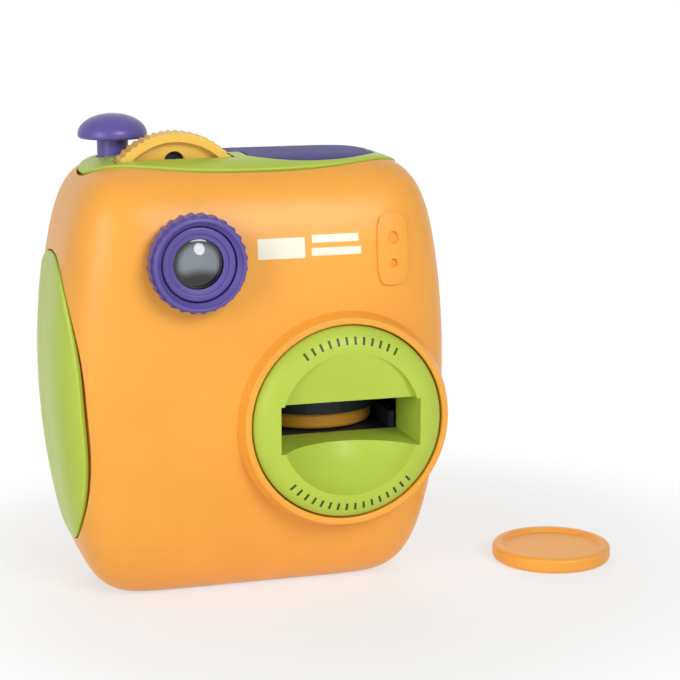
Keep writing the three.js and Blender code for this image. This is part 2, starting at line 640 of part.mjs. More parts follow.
// Ejector bezel: a domed cup with a flat face, a wide slot that runs back as a tunnel,
// a sloping pocket above the slot and a round thumb scoop below it.
function bezel(group) {
  const shoulder = (inset) => {
    const run = BEZEL_RADIUS - BEZEL_FACE_RADIUS;
    return Array.from({ length: 5 }, (_, i) => {
      const angle = (Math.PI / 2) * (i / 4);
      const r = BEZEL_FACE_RADIUS + (run - inset) * Math.sin(angle);
      return [r, BEZEL_EDGE_Y + inset - BEZEL_DOME * Math.cos(angle)];
    });
  };
  const back = BEZEL_EDGE_Y + BEZEL_DEPTH;
  const cup = lathe([
    [0, BEZEL_FACE_Y], ...shoulder(0), [BEZEL_RADIUS, back],
    [BEZEL_RADIUS - BEZEL_WALL, back], ...shoulder(BEZEL_WALL).reverse(), [0, BEZEL_FACE_Y + BEZEL_WALL],
  ], FINE).translate(EJECTOR_X, 0, EJECTOR_Z);
  const tunnel = (grow, from, to) => block(
    [EJECTOR_X - BEZEL_FACE_RADIUS - grow, EJECTOR_X + BEZEL_FACE_RADIUS + grow], [from, to],
    [SLOT_FLOOR - grow, SLOT_ROOF + grow],
  );
  const ballRadius = (BEZEL_FACE_RADIUS ** 2 + SCOOP_DEPTH ** 2) / (2 * SCOOP_DEPTH);
  const ball = (grow) => solid(new THREE.SphereGeometry(ballRadius + grow, FINE, MEDIUM)
    .rotateX(Math.PI / 2).translate(EJECTOR_X, BEZEL_FACE_Y + SCOOP_DEPTH - ballRadius, EJECTOR_Z));
  const below = block([-reach, reach], [BEZEL_FACE_Y, reach], [-reach, SLOT_FLOOR]);
  const open = block([-reach, reach], [-reach, reach], [-reach, SLOT_FLOOR]);
  const disc = prismY(circle(BEZEL_FACE_RADIUS, EJECTOR_X, EJECTOR_Z, FINE), -reach, reach);
  const pocketTop = EJECTOR_Z + BEZEL_FACE_RADIUS;
  const pocket = prismX(new THREE.Shape([
    new THREE.Vector2(BEZEL_FACE_Y - GAP, pocketTop),
    new THREE.Vector2(BEZEL_FACE_Y - GAP, SLOT_ROOF - GAP),
    new THREE.Vector2(BEZEL_FACE_Y + POCKET_DEPTH, SLOT_ROOF - GAP),
    new THREE.Vector2(BEZEL_FACE_Y, pocketTop),
  ]), -reach, reach);
  const backing = prismX(new THREE.Shape([
    new THREE.Vector2(BEZEL_FACE_Y, pocketTop),
    new THREE.Vector2(BEZEL_FACE_Y, SLOT_ROOF),
    new THREE.Vector2(BEZEL_FACE_Y + POCKET_DEPTH + BEZEL_WALL, SLOT_ROOF),
    new THREE.Vector2(BEZEL_FACE_Y + BEZEL_WALL, pocketTop),
  ]), -reach, reach);
  const bowl = ball(BEZEL_WALL).intersect(below).intersect(disc);
  const behind = block([-reach, reach], [BEZEL_FACE_Y + BEZEL_WALL / 2, reach], [0, reach]);
  const walls = tunnel(BEZEL_WALL, BEZEL_FACE_Y, TUNNEL_END_Y).intersect(behind)
    .intersect(prismY(circle(BEZEL_RADIUS - BEZEL_WALL / 2, EJECTOR_X, EJECTOR_Z, FINE), -reach, reach));
  const bezelSolid = join(solid(cup), walls, bowl, backing.intersect(disc))
    .subtract(join(tunnel(0, -reach, reach), ball(0).intersect(open), pocket.intersect(disc)));
  piece(group, 'ejector_bezel', bezelSolid, GREEN);
}

// A flat disc with a raised rim and a round edge, lying on its own base.
function discSolid() {
  const inner = DISC_RADIUS - DISC_RIM;
  const bend = DISC_EDGE;
  const quarter = Math.PI / 2;
  return turnedZ([
    [0, 0],
    ...corner(DISC_RADIUS - bend, bend, bend, -quarter, 0, 1),
    ...corner(DISC_RADIUS - bend, DISC_THICKNESS - bend, bend, 0, quarter, 1),
    [inner, DISC_THICKNESS], [inner - DISC_DISH / 2, DISC_THICKNESS - DISC_DISH],
    [0, DISC_THICKNESS - DISC_DISH],
  ], MEDIUM + 4);
}

function discs(group) {
  const shape = discSolid();
  const put = (name, x, y, z) => piece(group, name, shape, ORANGE).position.set(x, y, z);
  put('loaded_disc', LAUNCH_X, LAUNCH_Y, DISC_Z);
  for (let i = 1; i <= STACKED_DISCS; i += 1) {
    put(`stacked_disc_${i}`, LAUNCH_X, LAUNCH_Y, DISC_Z + i * (DISC_THICKNESS + GAP));
  }
  put('table_disc', TABLE_DISC_X, TABLE_DISC_Y, 0);
}

// Launch deck with its rails and legs, and the tube that holds the stack above it.
function deck(group) {
  const half = MAGAZINE_RADIUS;
  const rear = LAUNCH_Y + DISC_RADIUS + GAP + STRIKER_LENGTH + PLAY;
  const [left, right] = [LAUNCH_X - half, LAUNCH_X + half];
  const front = TUNNEL_END_Y + GAP;
  const floor = block([left, right], [front, rear], [DECK_UNDER, SLOT_FLOOR]);
  const rail = (x0) => block([x0, x0 + DECK_RAIL], [front, rear], [DECK_UNDER, MAGAZINE_Z - GAP]);
  const leg = (x, y) => block([x, x + LEG], [y, y + 2 * LEG], [-reach, DECK_UNDER + DECK_THICKNESS / 2]);
  const bearingLeg = leg(ARM_X + ARM_THICKNESS + LEG, SHAFT_Y - LEG);
  const frontLegs = [leg(left, front), leg(right - LEG, front)];
  const lugFront = ARM_PIN_Y - ARM_LENGTH - lugHalf - PLAY;
  const lugSlot = block(
    [LAUNCH_X - LUG_WIDTH / 2 - PLAY, LAUNCH_X + LUG_WIDTH / 2 + PLAY], [lugFront, reach], [0, reach],
  );
  const shaftBore = prismX(circle(SHAFT_RADIUS + GAP, SHAFT_Y, SHAFT_Z, COARSE), 0, reach);
  const deckSolid = join(floor, rail(left), rail(right - DECK_RAIL), bearingLeg, ...frontLegs)
    .intersect(cavity()).subtract(join(lugSlot, shaftBore));
  piece(group, 'launch_deck', deckSolid, BLACK);
  const tube = turnedZ(sleeve(MAGAZINE_BORE, MAGAZINE_RADIUS, MAGAZINE_Z, reach), FINE)
    .translate([LAUNCH_X, LAUNCH_Y, 0]).intersect(cavity());
  const hingeRoom = block(
    [-reach, HINGE_X + KNUCKLE_RADIUS + PLAY], [-reach, reach], [HINGE_Z - 2 * KNUCKLE_RADIUS, reach],
  );
  piece(group, 'magazine_tube', tube.subtract(join(hingeRoom, wheelWay())), BLACK);
}

// Striker: a flat pusher with a curved front, and a forked lug that the arm's pin runs in.
const lugHalf = ARM_PIN + PLAY + LUG_PRONG;
function striker(group) {
  const back = LAUNCH_Y + DISC_RADIUS + GAP + STRIKER_LENGTH;
  const [left, right] = [LAUNCH_X - STRIKER_WIDTH / 2, LAUNCH_X + STRIKER_WIDTH / 2];
  const top = DISC_Z + DISC_THICKNESS - GAP;
  const plate = block([left, right], [LAUNCH_Y, back], [DISC_Z, top]);
  const discWay = prismZ(circle(DISC_RADIUS + GAP, LAUNCH_X, LAUNCH_Y, FINE), SLOT_FLOOR, reach);
  const lugX = [LAUNCH_X - LUG_WIDTH / 2, LAUNCH_X + LUG_WIDTH / 2];
  const lug = block(lugX, [ARM_PIN_Y - lugHalf, ARM_PIN_Y + lugHalf], [ARM_PIN_Z - ARM_PIN, DISC_Z + GAP]);
  const slotTop = SHAFT_Z + ARM_LENGTH + ARM_PIN + GAP;
  const slotHalf = ARM_PIN + PLAY;
  const slot = block([-reach, reach], [ARM_PIN_Y - slotHalf, ARM_PIN_Y + slotHalf], [0, slotTop]);
  piece(group, 'striker', join(plate, lug).subtract(join(slot, discWay)), PURPLE);
}

// Rocker: a shaft with a crank under the button and a long arm behind the striker, modelled upright
// about its own axis and leant back to its place at rest.
function rocker(group) {
  const turned = new THREE.Group();
  turned.position.set(0, SHAFT_Y, SHAFT_Z);
  turned.rotation.x = -HALF_SWING;
  group.add(turned);
  const bore = prismX(circle(SHAFT_RADIUS + GAP, 0, 0, COARSE), -reach, reach);
  const shaftEnd = ARM_X + ARM_THICKNESS + 2 * LEG;
  piece(turned, 'rocker_shaft', prismX(circle(SHAFT_RADIUS, 0, 0, COARSE), CRANK_X, shaftEnd), STEEL);

  const arm = prismX(link(ARM_LENGTH, HUB_RADIUS, ARM_TIP), ARM_X, ARM_X + ARM_THICKNESS);
  const armPin = prismX(circle(ARM_PIN, 0, ARM_LENGTH, COARSE), ARM_X - LUG_WIDTH - GAP, ARM_X + GAP);
  piece(turned, 'striker_arm', join(arm, armPin).subtract(bore), PURPLE);

  const crankShape = link(CRANK_LENGTH, HUB_RADIUS, CRANK_PIN + CRANK_WALL);
  const crank = prismX(crankShape, CRANK_X, CRANK_X + ARM_THICKNESS);
  const pinShape = circle(CRANK_PIN, 0, CRANK_LENGTH, COARSE);
  const crankPin = prismX(pinShape, CRANK_X - FOOT_WIDTH - GAP, CRANK_X + GAP);
  const forward = join(crank, crankPin).rotate([90, 0, 0]);
  piece(turned, 'trigger_crank', forward.subtract(bore), PURPLE);

  const postX = CRANK_X + ARM_THICKNESS + 2 * GAP;
  const postTop = SHAFT_Z + HUB_RADIUS;
  const post = block([postX, postX + BEARING_WIDTH], [SHAFT_Y - LEG, SHAFT_Y + LEG], [-reach, postTop])
    .intersect(cavity())
    .subtract(prismX(circle(SHAFT_RADIUS + GAP, SHAFT_Y, SHAFT_Z, COARSE), -reach, reach));
  piece(group, 'bearing_post', post, GREEN);
}

// Mushroom launch button, its push rod, the rod's guide and the return spring.
function button(group) {
  const under = CAP_TOP_Z - CAP_HEIGHT;
  const foot = under - STEM_LENGTH;
  const socket = ROD_RADIUS + GAP;
  const dome = Array.from({ length: 6 }, (_, i) => {
    const angle = (Math.PI / 2) * (i / 5);
    return [CAP_RADIUS * Math.cos(angle), under + CAP_SKIRT + (CAP_HEIGHT - CAP_SKIRT) * Math.sin(angle)];
  });
  const cap = turnedZ([
    [0, foot + SOCKET_DEPTH], [socket, foot + SOCKET_DEPTH], [socket, foot], [STEM_RADIUS, foot],
    [STEM_RADIUS, under + CAP_SKIRT / 2], [CAP_RADIUS - CAP_SKIRT, under],
    ...dome.slice(0, -1), [0, CAP_TOP_Z],
  ], MEDIUM).translate([BUTTON_X, BUTTON_Y, 0]);
  piece(group, 'launch_button', cap, PURPLE);

  const springFoot = GUIDE_Z + GUIDE_THICKNESS + GAP;
  const springTop = springFoot + SPRING_LENGTH;
  const collarZ = springTop + GAP;
  const footTop = CRANK_PIN_Z + 3 * CRANK_PIN;
  const shank = turnedZ([
    [0, footTop - GAP], [ROD_RADIUS, footTop - GAP], [ROD_RADIUS, collarZ], [ROD_COLLAR, collarZ],
    [ROD_COLLAR, collarZ + ROD_COLLAR_HEIGHT], [ROD_RADIUS, collarZ + ROD_COLLAR_HEIGHT],
    [ROD_RADIUS, foot + SOCKET_DEPTH - GAP], [0, foot + SOCKET_DEPTH - GAP],
  ], COARSE).translate([BUTTON_X, BUTTON_Y, 0]);
  const yokeHalf = CRANK_LENGTH * (1 - Math.cos(HALF_SWING)) + CRANK_PIN + PLAY;
  const yoke = block(
    [BUTTON_X - FOOT_WIDTH / 2, BUTTON_X + FOOT_WIDTH / 2],
    [BUTTON_Y - yokeHalf - CRANK_PIN, BUTTON_Y + yokeHalf + CRANK_PIN],
    [CRANK_PIN_Z - 2.5 * CRANK_PIN, footTop],
  );
  const yokeSlot = block(
    [-reach, reach], [BUTTON_Y - yokeHalf, BUTTON_Y + yokeHalf],
    [CRANK_PIN_Z - CRANK_PIN - GAP, CRANK_PIN_Z + CRANK_PIN + GAP],
  );
  piece(group, 'push_rod', join(shank, yoke).subtract(yokeSlot), WHITE);

  const guideZ = [GUIDE_Z, GUIDE_Z + GUIDE_THICKNESS];
  const guide = block([-reach, BUTTON_X + ROD_COLLAR], [BUTTON_Y - GUIDE_HALF, BUTTON_Y + GUIDE_HALF], guideZ)
    .intersect(cavity())
    .subtract(prismZ(circle(ROD_RADIUS + GAP, BUTTON_X, BUTTON_Y, COARSE), 0, reach));
  piece(group, 'rod_guide', guide, GREEN);
  const spring = solid(springGeometry(SPRING_RADIUS, SPRING_WIRE, SPRING_CURLS, SPRING_LENGTH));
  piece(group, 'button_spring', spring, STEEL).position.set(BUTTON_X, BUTTON_Y, springFoot);
}

// A coil spring that stands on z = 0: one unbroken round wire along a helix.
function springGeometry(radius, wire, curls, length) {
  const [steps, sides] = [8, 5];
  const count = curls * steps;
  const climb = length - 2 * wire;
  const position = [];
  const centres = [];
  for (let i = 0; i <= count; i += 1) {
    const turn = (2 * Math.PI * i) / steps;
    const outward = new THREE.Vector3(Math.cos(turn), Math.sin(turn), 0);
    const centre = outward.clone().multiplyScalar(radius).setZ(wire + (climb * i) / count);
    const pitch = climb / (2 * Math.PI * radius * curls);
    const along = new THREE.Vector3(-Math.sin(turn), Math.cos(turn), pitch).normalize();
    const upward = along.clone().cross(outward).negate();
    centres.push(centre);
    for (let s = 0; s < sides; s += 1) {
      const angle = (2 * Math.PI * s) / sides;
      const point = centre.clone()
        .addScaledVector(outward, wire * Math.cos(angle))
        .addScaledVector(upward, wire * Math.sin(angle));
      position.push(...point.toArray());
    }
  }
  const [foot, head] = [position.length / 3, position.length / 3 + 1];
  position.push(...centres[0].toArray(), ...centres[count].toArray());
  const index = [];
  for (let s = 0; s < sides; s += 1) {
    const next = (s + 1) % sides;
    for (let i = 0; i < count; i += 1) {
      const [a, b] = [i * sides + s, i * sides + next];
      index.push(a, b, b + sides, a, b + sides, a + sides);
    }
    index.push(foot, next, s, head, count * sides + s, count * sides + next);
  }
  const nearest = centres.slice(steps).map((centre, i) => centre.distanceTo(centres[i]));
  console.log(`button spring: least gap between curls ${(Math.min(...nearest) - 2 * wire).toFixed(2)} mm`);
  const geometry = new THREE.BufferGeometry();
  geometry.setAttribute('position', new THREE.Float32BufferAttribute(position, 3));
  geometry.setIndex(index);
  return geometry;
}

// Lens cell and barrel sizes, from the lens outwards
const cellRadius = LENS_RADIUS + CELL_WALL;
const barrelBore = cellRadius + GAP;
const barrelRadius = barrelBore + BARREL_WALL;
const lensWallY = frontY(LENS_X, LENS_Z);
const ringBack = lensWallY - RING_STANDOFF;
const ringFront = ringBack - RING_LENGTH;

// The projector's pieces are modelled about the lens axis, which runs along Y.
function projector(group) {
  const axis = new THREE.Group();
  axis.position.set(LENS_X, 0, LENS_Z);
  group.add(axis);
  lensGroup(axis);
  slideWheel(axis);
  lamp(axis);
}

function lensGroup(axis) {
  const flangeFront = ringFront - CELL_RISE;
  const shoulder = flangeFront + CELL_FLANGE_HEIGHT + GAP;
  const lipOuter = RING_RADIUS - RING_TOOTH - GAP;
  const lipInner = lipOuter - LIP_WIDTH;
  const lipFront = ringFront - LIP_RISE;
  const counterbore = CELL_FLANGE + GAP;
  const ringBore = barrelRadius + GAP;
  const core = turnedY([
    [ringBore, ringBack], [lipOuter - RING_CHAMFER, ringBack], [lipOuter, ringBack - RING_CHAMFER],
    [lipOuter, lipFront + LIP_ROUND], [lipOuter - LIP_ROUND, lipFront],
    [lipInner, lipFront], [lipInner, lipFront + LIP_ROUND], [counterbore, flangeFront - GAP],
    [counterbore, shoulder], [ringBore, shoulder], [ringBore, ringBack],
  ], FINE);
  const band = prismY(sawWheel(RING_RADIUS, RING_TOOTH, RING_TEETH), ringFront, ringBack - RING_CHAMFER);
  const bandBore = prismY(circle(lipOuter - GAP, 0, 0, FINE), -reach, reach);
  piece(axis, 'focus_ring', join(core, band.subtract(bandBore)), PURPLE);

  const lensFront = flangeFront + CELL_FACE;
  const lensBack = lensFront + LENS_THICKNESS;
  const lipRadius = LENS_RADIUS - CELL_LIP;
  const cellEnd = lensBack + FOCUS_TRAVEL + CELL_GUIDE;
  const cell = turnedY([
    [lipRadius, flangeFront + CELL_LIP], [LENS_RADIUS, flangeFront], [CELL_FLANGE - CELL_LIP, flangeFront],
    [CELL_FLANGE, flangeFront + CELL_LIP], [CELL_FLANGE, flangeFront + CELL_FLANGE_HEIGHT],
    [cellRadius, flangeFront + CELL_FLANGE_HEIGHT], [cellRadius, cellEnd], [lipRadius, cellEnd],
    [lipRadius, lensBack + GAP], [LENS_RADIUS + GAP, lensBack + GAP],
    [LENS_RADIUS + GAP, lensFront], [lipRadius, lensFront], [lipRadius, flangeFront + CELL_LIP],
  ], MEDIUM);
  piece(axis, 'lens_cell', cell, PURPLE);

  const face = lensFront + GAP;
  const stop = lipRadius - GAP;
  const dome = Array.from({ length: 5 }, (_, i) => {
    const r = (stop * i) / 4;
    return [r, face - LENS_BULGE * (1 - (r / stop) ** 2)];
  });
  const lens = turnedY([...dome, [LENS_RADIUS, face], [LENS_RADIUS, lensBack], [0, lensBack]], MEDIUM);
  piece(axis, 'projector_lens', lens, GLASS);
}

// Slide wheel: a toothed rim, a thin web with a circle of windows, and a hub on a headed axle.
function slideWheel(axis) {
  const rise = WHEEL_Z - LENS_Z;
  const up = new THREE.Group();
  up.position.set(0, 0, rise);
  axis.add(up);
  const rim = prismY(sawWheel(WHEEL_RADIUS, WHEEL_TOOTH, WHEEL_TEETH), WHEEL_FRONT, WHEEL_BACK)
    .subtract(prismY(circle(WHEEL_RADIUS - WHEEL_RIM, 0, 0, FINE), -reach, reach));
  const webRadius = WHEEL_RADIUS - WHEEL_RIM + GAP;
  const web = turnedY(rod(webRadius, WHEEL_Y - WHEEL_WEB / 2, WHEEL_Y + WHEEL_WEB / 2), FINE);
  const hub = turnedY(rod(WHEEL_HUB, WHEEL_FRONT, WHEEL_BACK), COARSE);
  const windows = Array.from({ length: WINDOW_COUNT }, (_, i) => {
    const angle = (2 * Math.PI * i) / WINDOW_COUNT + Math.PI / 2;
    const [x, z] = [WINDOW_CIRCLE * Math.cos(angle), WINDOW_CIRCLE * Math.sin(angle)];
    return prismY(circle(WINDOW_RADIUS, x, z, COARSE), -reach, reach);
  });
  const bore = prismY(circle(AXLE_RADIUS + GAP, 0, 0, COARSE), -reach, reach);
  piece(up, 'slide_wheel', join(rim, web, hub).subtract(join(bore, ...windows)), YELLOW);

  const filmFront = WHEEL_Y + WHEEL_WEB / 2 + GAP;
  const filmRadius = WHEEL_RADIUS - WHEEL_RIM - GAP;
  const film = sleeve(WHEEL_HUB + GAP, filmRadius, filmFront, filmFront + FILM_THICKNESS);
  piece(up, 'film_disc', turnedY(film), BLACK);

  const head = WHEEL_FRONT - GAP;
  const axle = turnedY([
    [0, head - AXLE_HEAD], [AXLE_RADIUS + AXLE_HEAD, head - AXLE_HEAD], [AXLE_RADIUS + AXLE_HEAD, head],
    [AXLE_RADIUS, head],
    [AXLE_RADIUS, LAMP_FRONT + UPRIGHT], [0, LAMP_FRONT + UPRIGHT],
  ], COARSE);
  piece(up, 'wheel_axle', axle, STEEL);
}

// One moulded frame: lens barrel in front of the wheel, a bridge under it, and behind it an upright
// that carries the axle and the lamp tube.
function lamp(axis) {
  const lampRadius = LAMP_RADIUS + LAMP_WALL;
  const flangeY = lensWallY + WALL + 2 * GAP;
  const barrelBack = WHEEL_FRONT - 2 * GAP - AXLE_HEAD;
  const barrel = turnedY(sleeve(barrelBore, barrelRadius, ringBack - RING_LENGTH / 2, barrelBack));
  const flange = turnedY(sleeve(barrelBore, BARREL_FLANGE, lensWallY, flangeY + FLANGE_THICKNESS));
  const rise = WHEEL_Z - LENS_Z;
  const under = rise - WHEEL_RADIUS - PLAY;
  const bridgeHalf = lampRadius - LAMP_WALL / 2;
  const bridge = block([-bridgeHalf, bridgeHalf], [flangeY, LAMP_FRONT + UPRIGHT], [under - BRIDGE, under])
    .subtract(prismY(circle(barrelBore, 0, 0), -reach, WHEEL_FRONT));
  const tube = turnedY(sleeve(LAMP_RADIUS, lampRadius, LAMP_FRONT, LAMP_BACK), MEDIUM);
  const plateZ = [under - BRIDGE, rise + AXLE_RADIUS + AXLE_WALL];
  const plate = block([-lampRadius, lampRadius], [LAMP_FRONT, LAMP_FRONT + UPRIGHT], plateZ);
  const axleBore = prismY(circle(AXLE_RADIUS + GAP, 0, rise, COARSE), -reach, reach);
  const lightWay = prismY(circle(LAMP_RADIUS, 0, 0), WHEEL_Y, reach);
  const hollow = cavity().translate([-LENS_X, 0, -LENS_Z]);
  const inside = join(flange, bridge, tube, plate).intersect(hollow);
  const frame = join(barrel, inside).subtract(join(axleBore, lightWay));
  piece(axis, 'projector_frame', frame, BLACK);

  const condenserY = LAMP_FRONT + GAP;
  const condenser = turnedY([
    [0, condenserY], [LAMP_RADIUS - GAP, condenserY], [LAMP_RADIUS - GAP, condenserY + 1],
    [LAMP_RADIUS / 2, condenserY + CONDENSER_THICKNESS - 0.4], [0, condenserY + CONDENSER_THICKNESS],
  ], COARSE);
  piece(axis, 'condenser_lens', condenser, GLASS);
  const boardY = LAMP_BACK + GAP;
  const ledBack = boardY - GAP;
  const led = turnedY([
    [0, ledBack], [LED_RADIUS + 0.5, ledBack], [LED_RADIUS + 0.5, ledBack - 1], [LED_RADIUS, ledBack - 1],
    ...corner(0, ledBack - 3, LED_RADIUS, 0, -Math.PI / 2),
  ], COARSE);
  piece(axis, 'led', led, WHITE);
  piece(axis, 'led_board', turnedY(rod(lampRadius, boardY, boardY + BOARD_THICKNESS), COARSE), GREEN);
  cells(axis);
}

// Height of the door's screw head on the back.
const doorScrewY = rearY(LENS_X, LENS_Z + DOOR_SCREW_RISE) - DOOR_SCREW_SINK;

// Battery tube behind the lamp, with a row of button cells and a post for the door's screw.
function cells(axis) {
  const inner = CELL_RADIUS + GAP;
  const outer = inner + LAMP_WALL;
  const tip = doorScrewY - DOOR_SCREW_LENGTH;
  const end = CELLS_END - POST_SETBACK;
  const foot = Math.min(end - POST_LENGTH, tip - 2 * PLAY);
  const post = prismY(circle(SCREW_SHANK + GAP + POST_WALL, 0, DOOR_SCREW_RISE, COARSE), foot, end);
  const bore = prismY(circle(SCREW_SHANK + GAP, 0, DOOR_SCREW_RISE, COARSE), tip - PLAY, reach);
  const web = block([-POST_WEB / 2, POST_WEB / 2], [foot, end], [inner + GAP, DOOR_SCREW_RISE]);
  const room = turnedY(rod(inner, CELLS_Y, CELLS_END));
  const tube = join(turnedY(rod(outer, CELLS_Y, CELLS_END)), post, web).subtract(join(bore, room));
  piece(axis, 'battery_tube', tube, BLACK);
  for (let i = 0; i < CELL_COUNT; i += 1) {
    const y = CELLS_Y + i * (CELL_LENGTH + GAP);
    const cell = turnedY([
      [0, y], [CELL_RADIUS - 1.2, y], [CELL_RADIUS - 1.2, y + 0.5], [CELL_RADIUS, y + 0.8],
      [CELL_RADIUS, y + CELL_LENGTH], [0, y + CELL_LENGTH],
    ], COARSE);
    piece(axis, `button_cell_${i + 1}`, cell, STEEL);
  }
}

// Battery door in the back, with the contact on its inside and its screw.
function batteryDoor(group) {
  const screw = { x: LENS_X, z: LENS_Z + DOOR_SCREW_RISE };
  const headBack = doorScrewY - SCREW_HEAD_HEIGHT;
  const contactBack = CELLS_END + CONTACT_THICKNESS;
  const padRadius = SCREW_HEAD + GAP + POST_WALL;
  const pad = prismY(circle(padRadius, screw.x, screw.z, COARSE), CELLS_END + GAP, HALF_DEPTH);
  const ribShape = roundedBox(2 * CELL_RADIUS, CONTACT_HEIGHT, CONTACT_THICKNESS, LENS_X, LENS_Z);
  const rib = prismY(ribShape, contactBack + GAP, HALF_DEPTH);
  const door = join(layer(0, -DOOR_THICKNESS), join(pad, rib).intersect(pillow(-DOOR_THICKNESS / 2)))
    .intersect(doorOutline(0))
    .subtract(join(
      boreY(SCREW_SHANK + GAP, screw, 0, reach), boreY(SCREW_HEAD + GAP, screw, headBack - GAP, reach),
    ));
  piece(group, 'battery_door', door, ORANGE);
  const contact = prismY(ribShape, CELLS_END, contactBack);
  piece(group, 'door_contact', contact, STEEL);
  piece(group, 'door_screw', screwSolid(DOOR_SCREW_LENGTH), STEEL).position.set(screw.x, doorScrewY, screw.z);
}

// A screw along Y with its head's top at y = 0 and its shank towards -Y.
function screwSolid(length) {
  return turnedY([
    [0, -length], [SCREW_SHANK / 2, -length], [SCREW_SHANK, -length + SCREW_TIP],
    [SCREW_SHANK, -SCREW_HEAD_HEIGHT],
    [SCREW_HEAD, -SCREW_HEAD_HEIGHT], [SCREW_HEAD, -SCREW_HEAD_HEIGHT / 3], [SCREW_HEAD * 0.75, 0], [0, 0],
  ], COARSE);
}

function screws(group) {
  screwPlaces.forEach(({ x, y, z }, i) => {
    const length = y - PARTING_Y + SCREW_LENGTH / 2;
    piece(group, `shell_screw_${i + 1}`, screwSolid(length), STEEL).position.set(x, y, z);
  });
}

// Power switch: a ribbed knob with a broad flange behind the wall, and the switch it moves.
const switchWallY = rearY(SWITCH_X, SWITCH_Z);
const switchHalf = KNOB_WIDTH / 2 + SWITCH_TRAVEL + FLANGE_OVERLAP;
const flangeEndX = SWITCH_X - SWITCH_TRAVEL / 2 - switchHalf;
const knobFlangeY = rearY(flangeEndX, SWITCH_Z) - WALL - 2 * GAP;
const switchBodyY = knobFlangeY - KNOB_FLANGE - GAP;
const slotLength = KNOB_WIDTH + SWITCH_TRAVEL + 2 * PLAY;
const switchSlot = () => prismY(
  roundedBox(slotLength, KNOB_HEIGHT + 2 * PLAY, SWITCH_CORNER, SWITCH_X, SWITCH_Z), HALF_DEPTH / 2, reach,
);
const switchPosts = () => join(...[-1, 1].map((side) => {
  const x = SWITCH_X + side * (switchHalf + SWITCH_TRAVEL + SWITCH_EAR);
  return prismY(circle(SWITCH_EAR, x, SWITCH_Z, COARSE), switchBodyY - EAR_SETBACK, switchWallY - WALL / 2);
}));
function powerSwitch(group) {
  const x = SWITCH_X - SWITCH_TRAVEL / 2;
  const top = switchWallY + KNOB_PROUD;
  const stemShape = roundedBox(KNOB_WIDTH, KNOB_HEIGHT, SWITCH_CORNER, x, SWITCH_Z);
  const stem = prismY(stemShape, knobFlangeY - GAP, top);
  const ribs = [-1, 1].map((side) => {
    const middle = x + (side * KNOB_WIDTH) / 4;
    return block(
      [middle - KNOB_GROOVE / 2, middle + KNOB_GROOVE / 2], [top - KNOB_GROOVE_DEPTH, reach], [0, reach],
    );
  });
  const flange = block(
    [x - switchHalf, x + switchHalf], [knobFlangeY - KNOB_FLANGE, knobFlangeY],
    [SWITCH_Z - KNOB_HEIGHT, SWITCH_Z + KNOB_HEIGHT],
  );
  piece(group, 'switch_knob', join(stem, flange).subtract(join(...ribs)), BLACK);
  const earReach = switchHalf + SWITCH_TRAVEL + 2 * SWITCH_EAR;
  const earFront = switchBodyY - EAR_SETBACK - GAP;
  const ears = block(
    [SWITCH_X - earReach, SWITCH_X + earReach], [earFront - SWITCH_EAR, earFront],
    [SWITCH_Z - SWITCH_EAR, SWITCH_Z + SWITCH_EAR],
  );
  const box = block(
    [SWITCH_X - switchHalf, SWITCH_X + switchHalf], [switchBodyY - SWITCH_DEPTH, switchBodyY],
    [SWITCH_Z - KNOB_HEIGHT, SWITCH_Z + KNOB_HEIGHT],
  );
  piece(group, 'switch_body', join(box, ears), BLACK);
}

const camera = new THREE.Group();
camera.name = 'toy_projector_camera';
shells(camera);
panels(camera);
lid(camera);
bezel(camera);
discs(camera);
deck(camera);
striker(camera);
rocker(camera);
button(camera);
projector(camera);
batteryDoor(camera);
powerSwitch(camera);
screws(camera);

export default camera;
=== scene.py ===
"""Looks of a pillow-shaped toy projector camera with a disc launcher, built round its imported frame.

Pieces are modelled in millimetres and brought to metres when they are finished.
"""

import json
import logging
import math
from collections.abc import Callable, Iterable, Sequence
from dataclasses import dataclass, field, replace
from enum import Enum

import bpy
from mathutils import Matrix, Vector


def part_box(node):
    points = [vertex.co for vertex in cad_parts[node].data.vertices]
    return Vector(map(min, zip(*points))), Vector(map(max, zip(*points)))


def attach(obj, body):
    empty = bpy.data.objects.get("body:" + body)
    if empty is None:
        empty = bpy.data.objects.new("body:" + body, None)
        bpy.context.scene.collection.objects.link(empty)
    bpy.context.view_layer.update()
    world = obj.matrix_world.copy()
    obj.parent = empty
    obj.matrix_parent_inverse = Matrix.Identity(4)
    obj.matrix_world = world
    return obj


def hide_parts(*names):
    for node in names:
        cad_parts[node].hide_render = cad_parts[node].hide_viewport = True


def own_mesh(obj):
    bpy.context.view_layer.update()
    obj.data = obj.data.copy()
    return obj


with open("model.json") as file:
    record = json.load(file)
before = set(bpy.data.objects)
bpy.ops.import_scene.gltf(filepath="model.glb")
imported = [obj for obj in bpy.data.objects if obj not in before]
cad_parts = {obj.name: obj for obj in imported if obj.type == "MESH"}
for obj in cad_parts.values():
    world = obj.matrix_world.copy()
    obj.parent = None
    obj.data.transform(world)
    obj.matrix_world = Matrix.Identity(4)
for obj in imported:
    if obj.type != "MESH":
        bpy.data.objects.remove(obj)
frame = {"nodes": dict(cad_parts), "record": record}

LOG = logging.getLogger("toy_camera")
METRES = 0.001
FAR = 400.0
GAP = 0.3
PLAY = 0.5
SPECK = 0.002
TOUCH = 1e-4
HAIR = 1e-6
TINY = 48
SMALL = 64
SMOOTH = 160
FINE = 192
TOOL_CUTS = 48
EJECTOR = (19.7, 48.5)
LENS = (-19.4, 91.7)
WHITE = (1.0, 1.0, 1.0, 1.0)
Span = tuple[float, float]
Point = tuple[float, float, float]
Colour = tuple[int, int, int]
Profile = list[tuple[float, float]]
Piece = bpy.types.Object


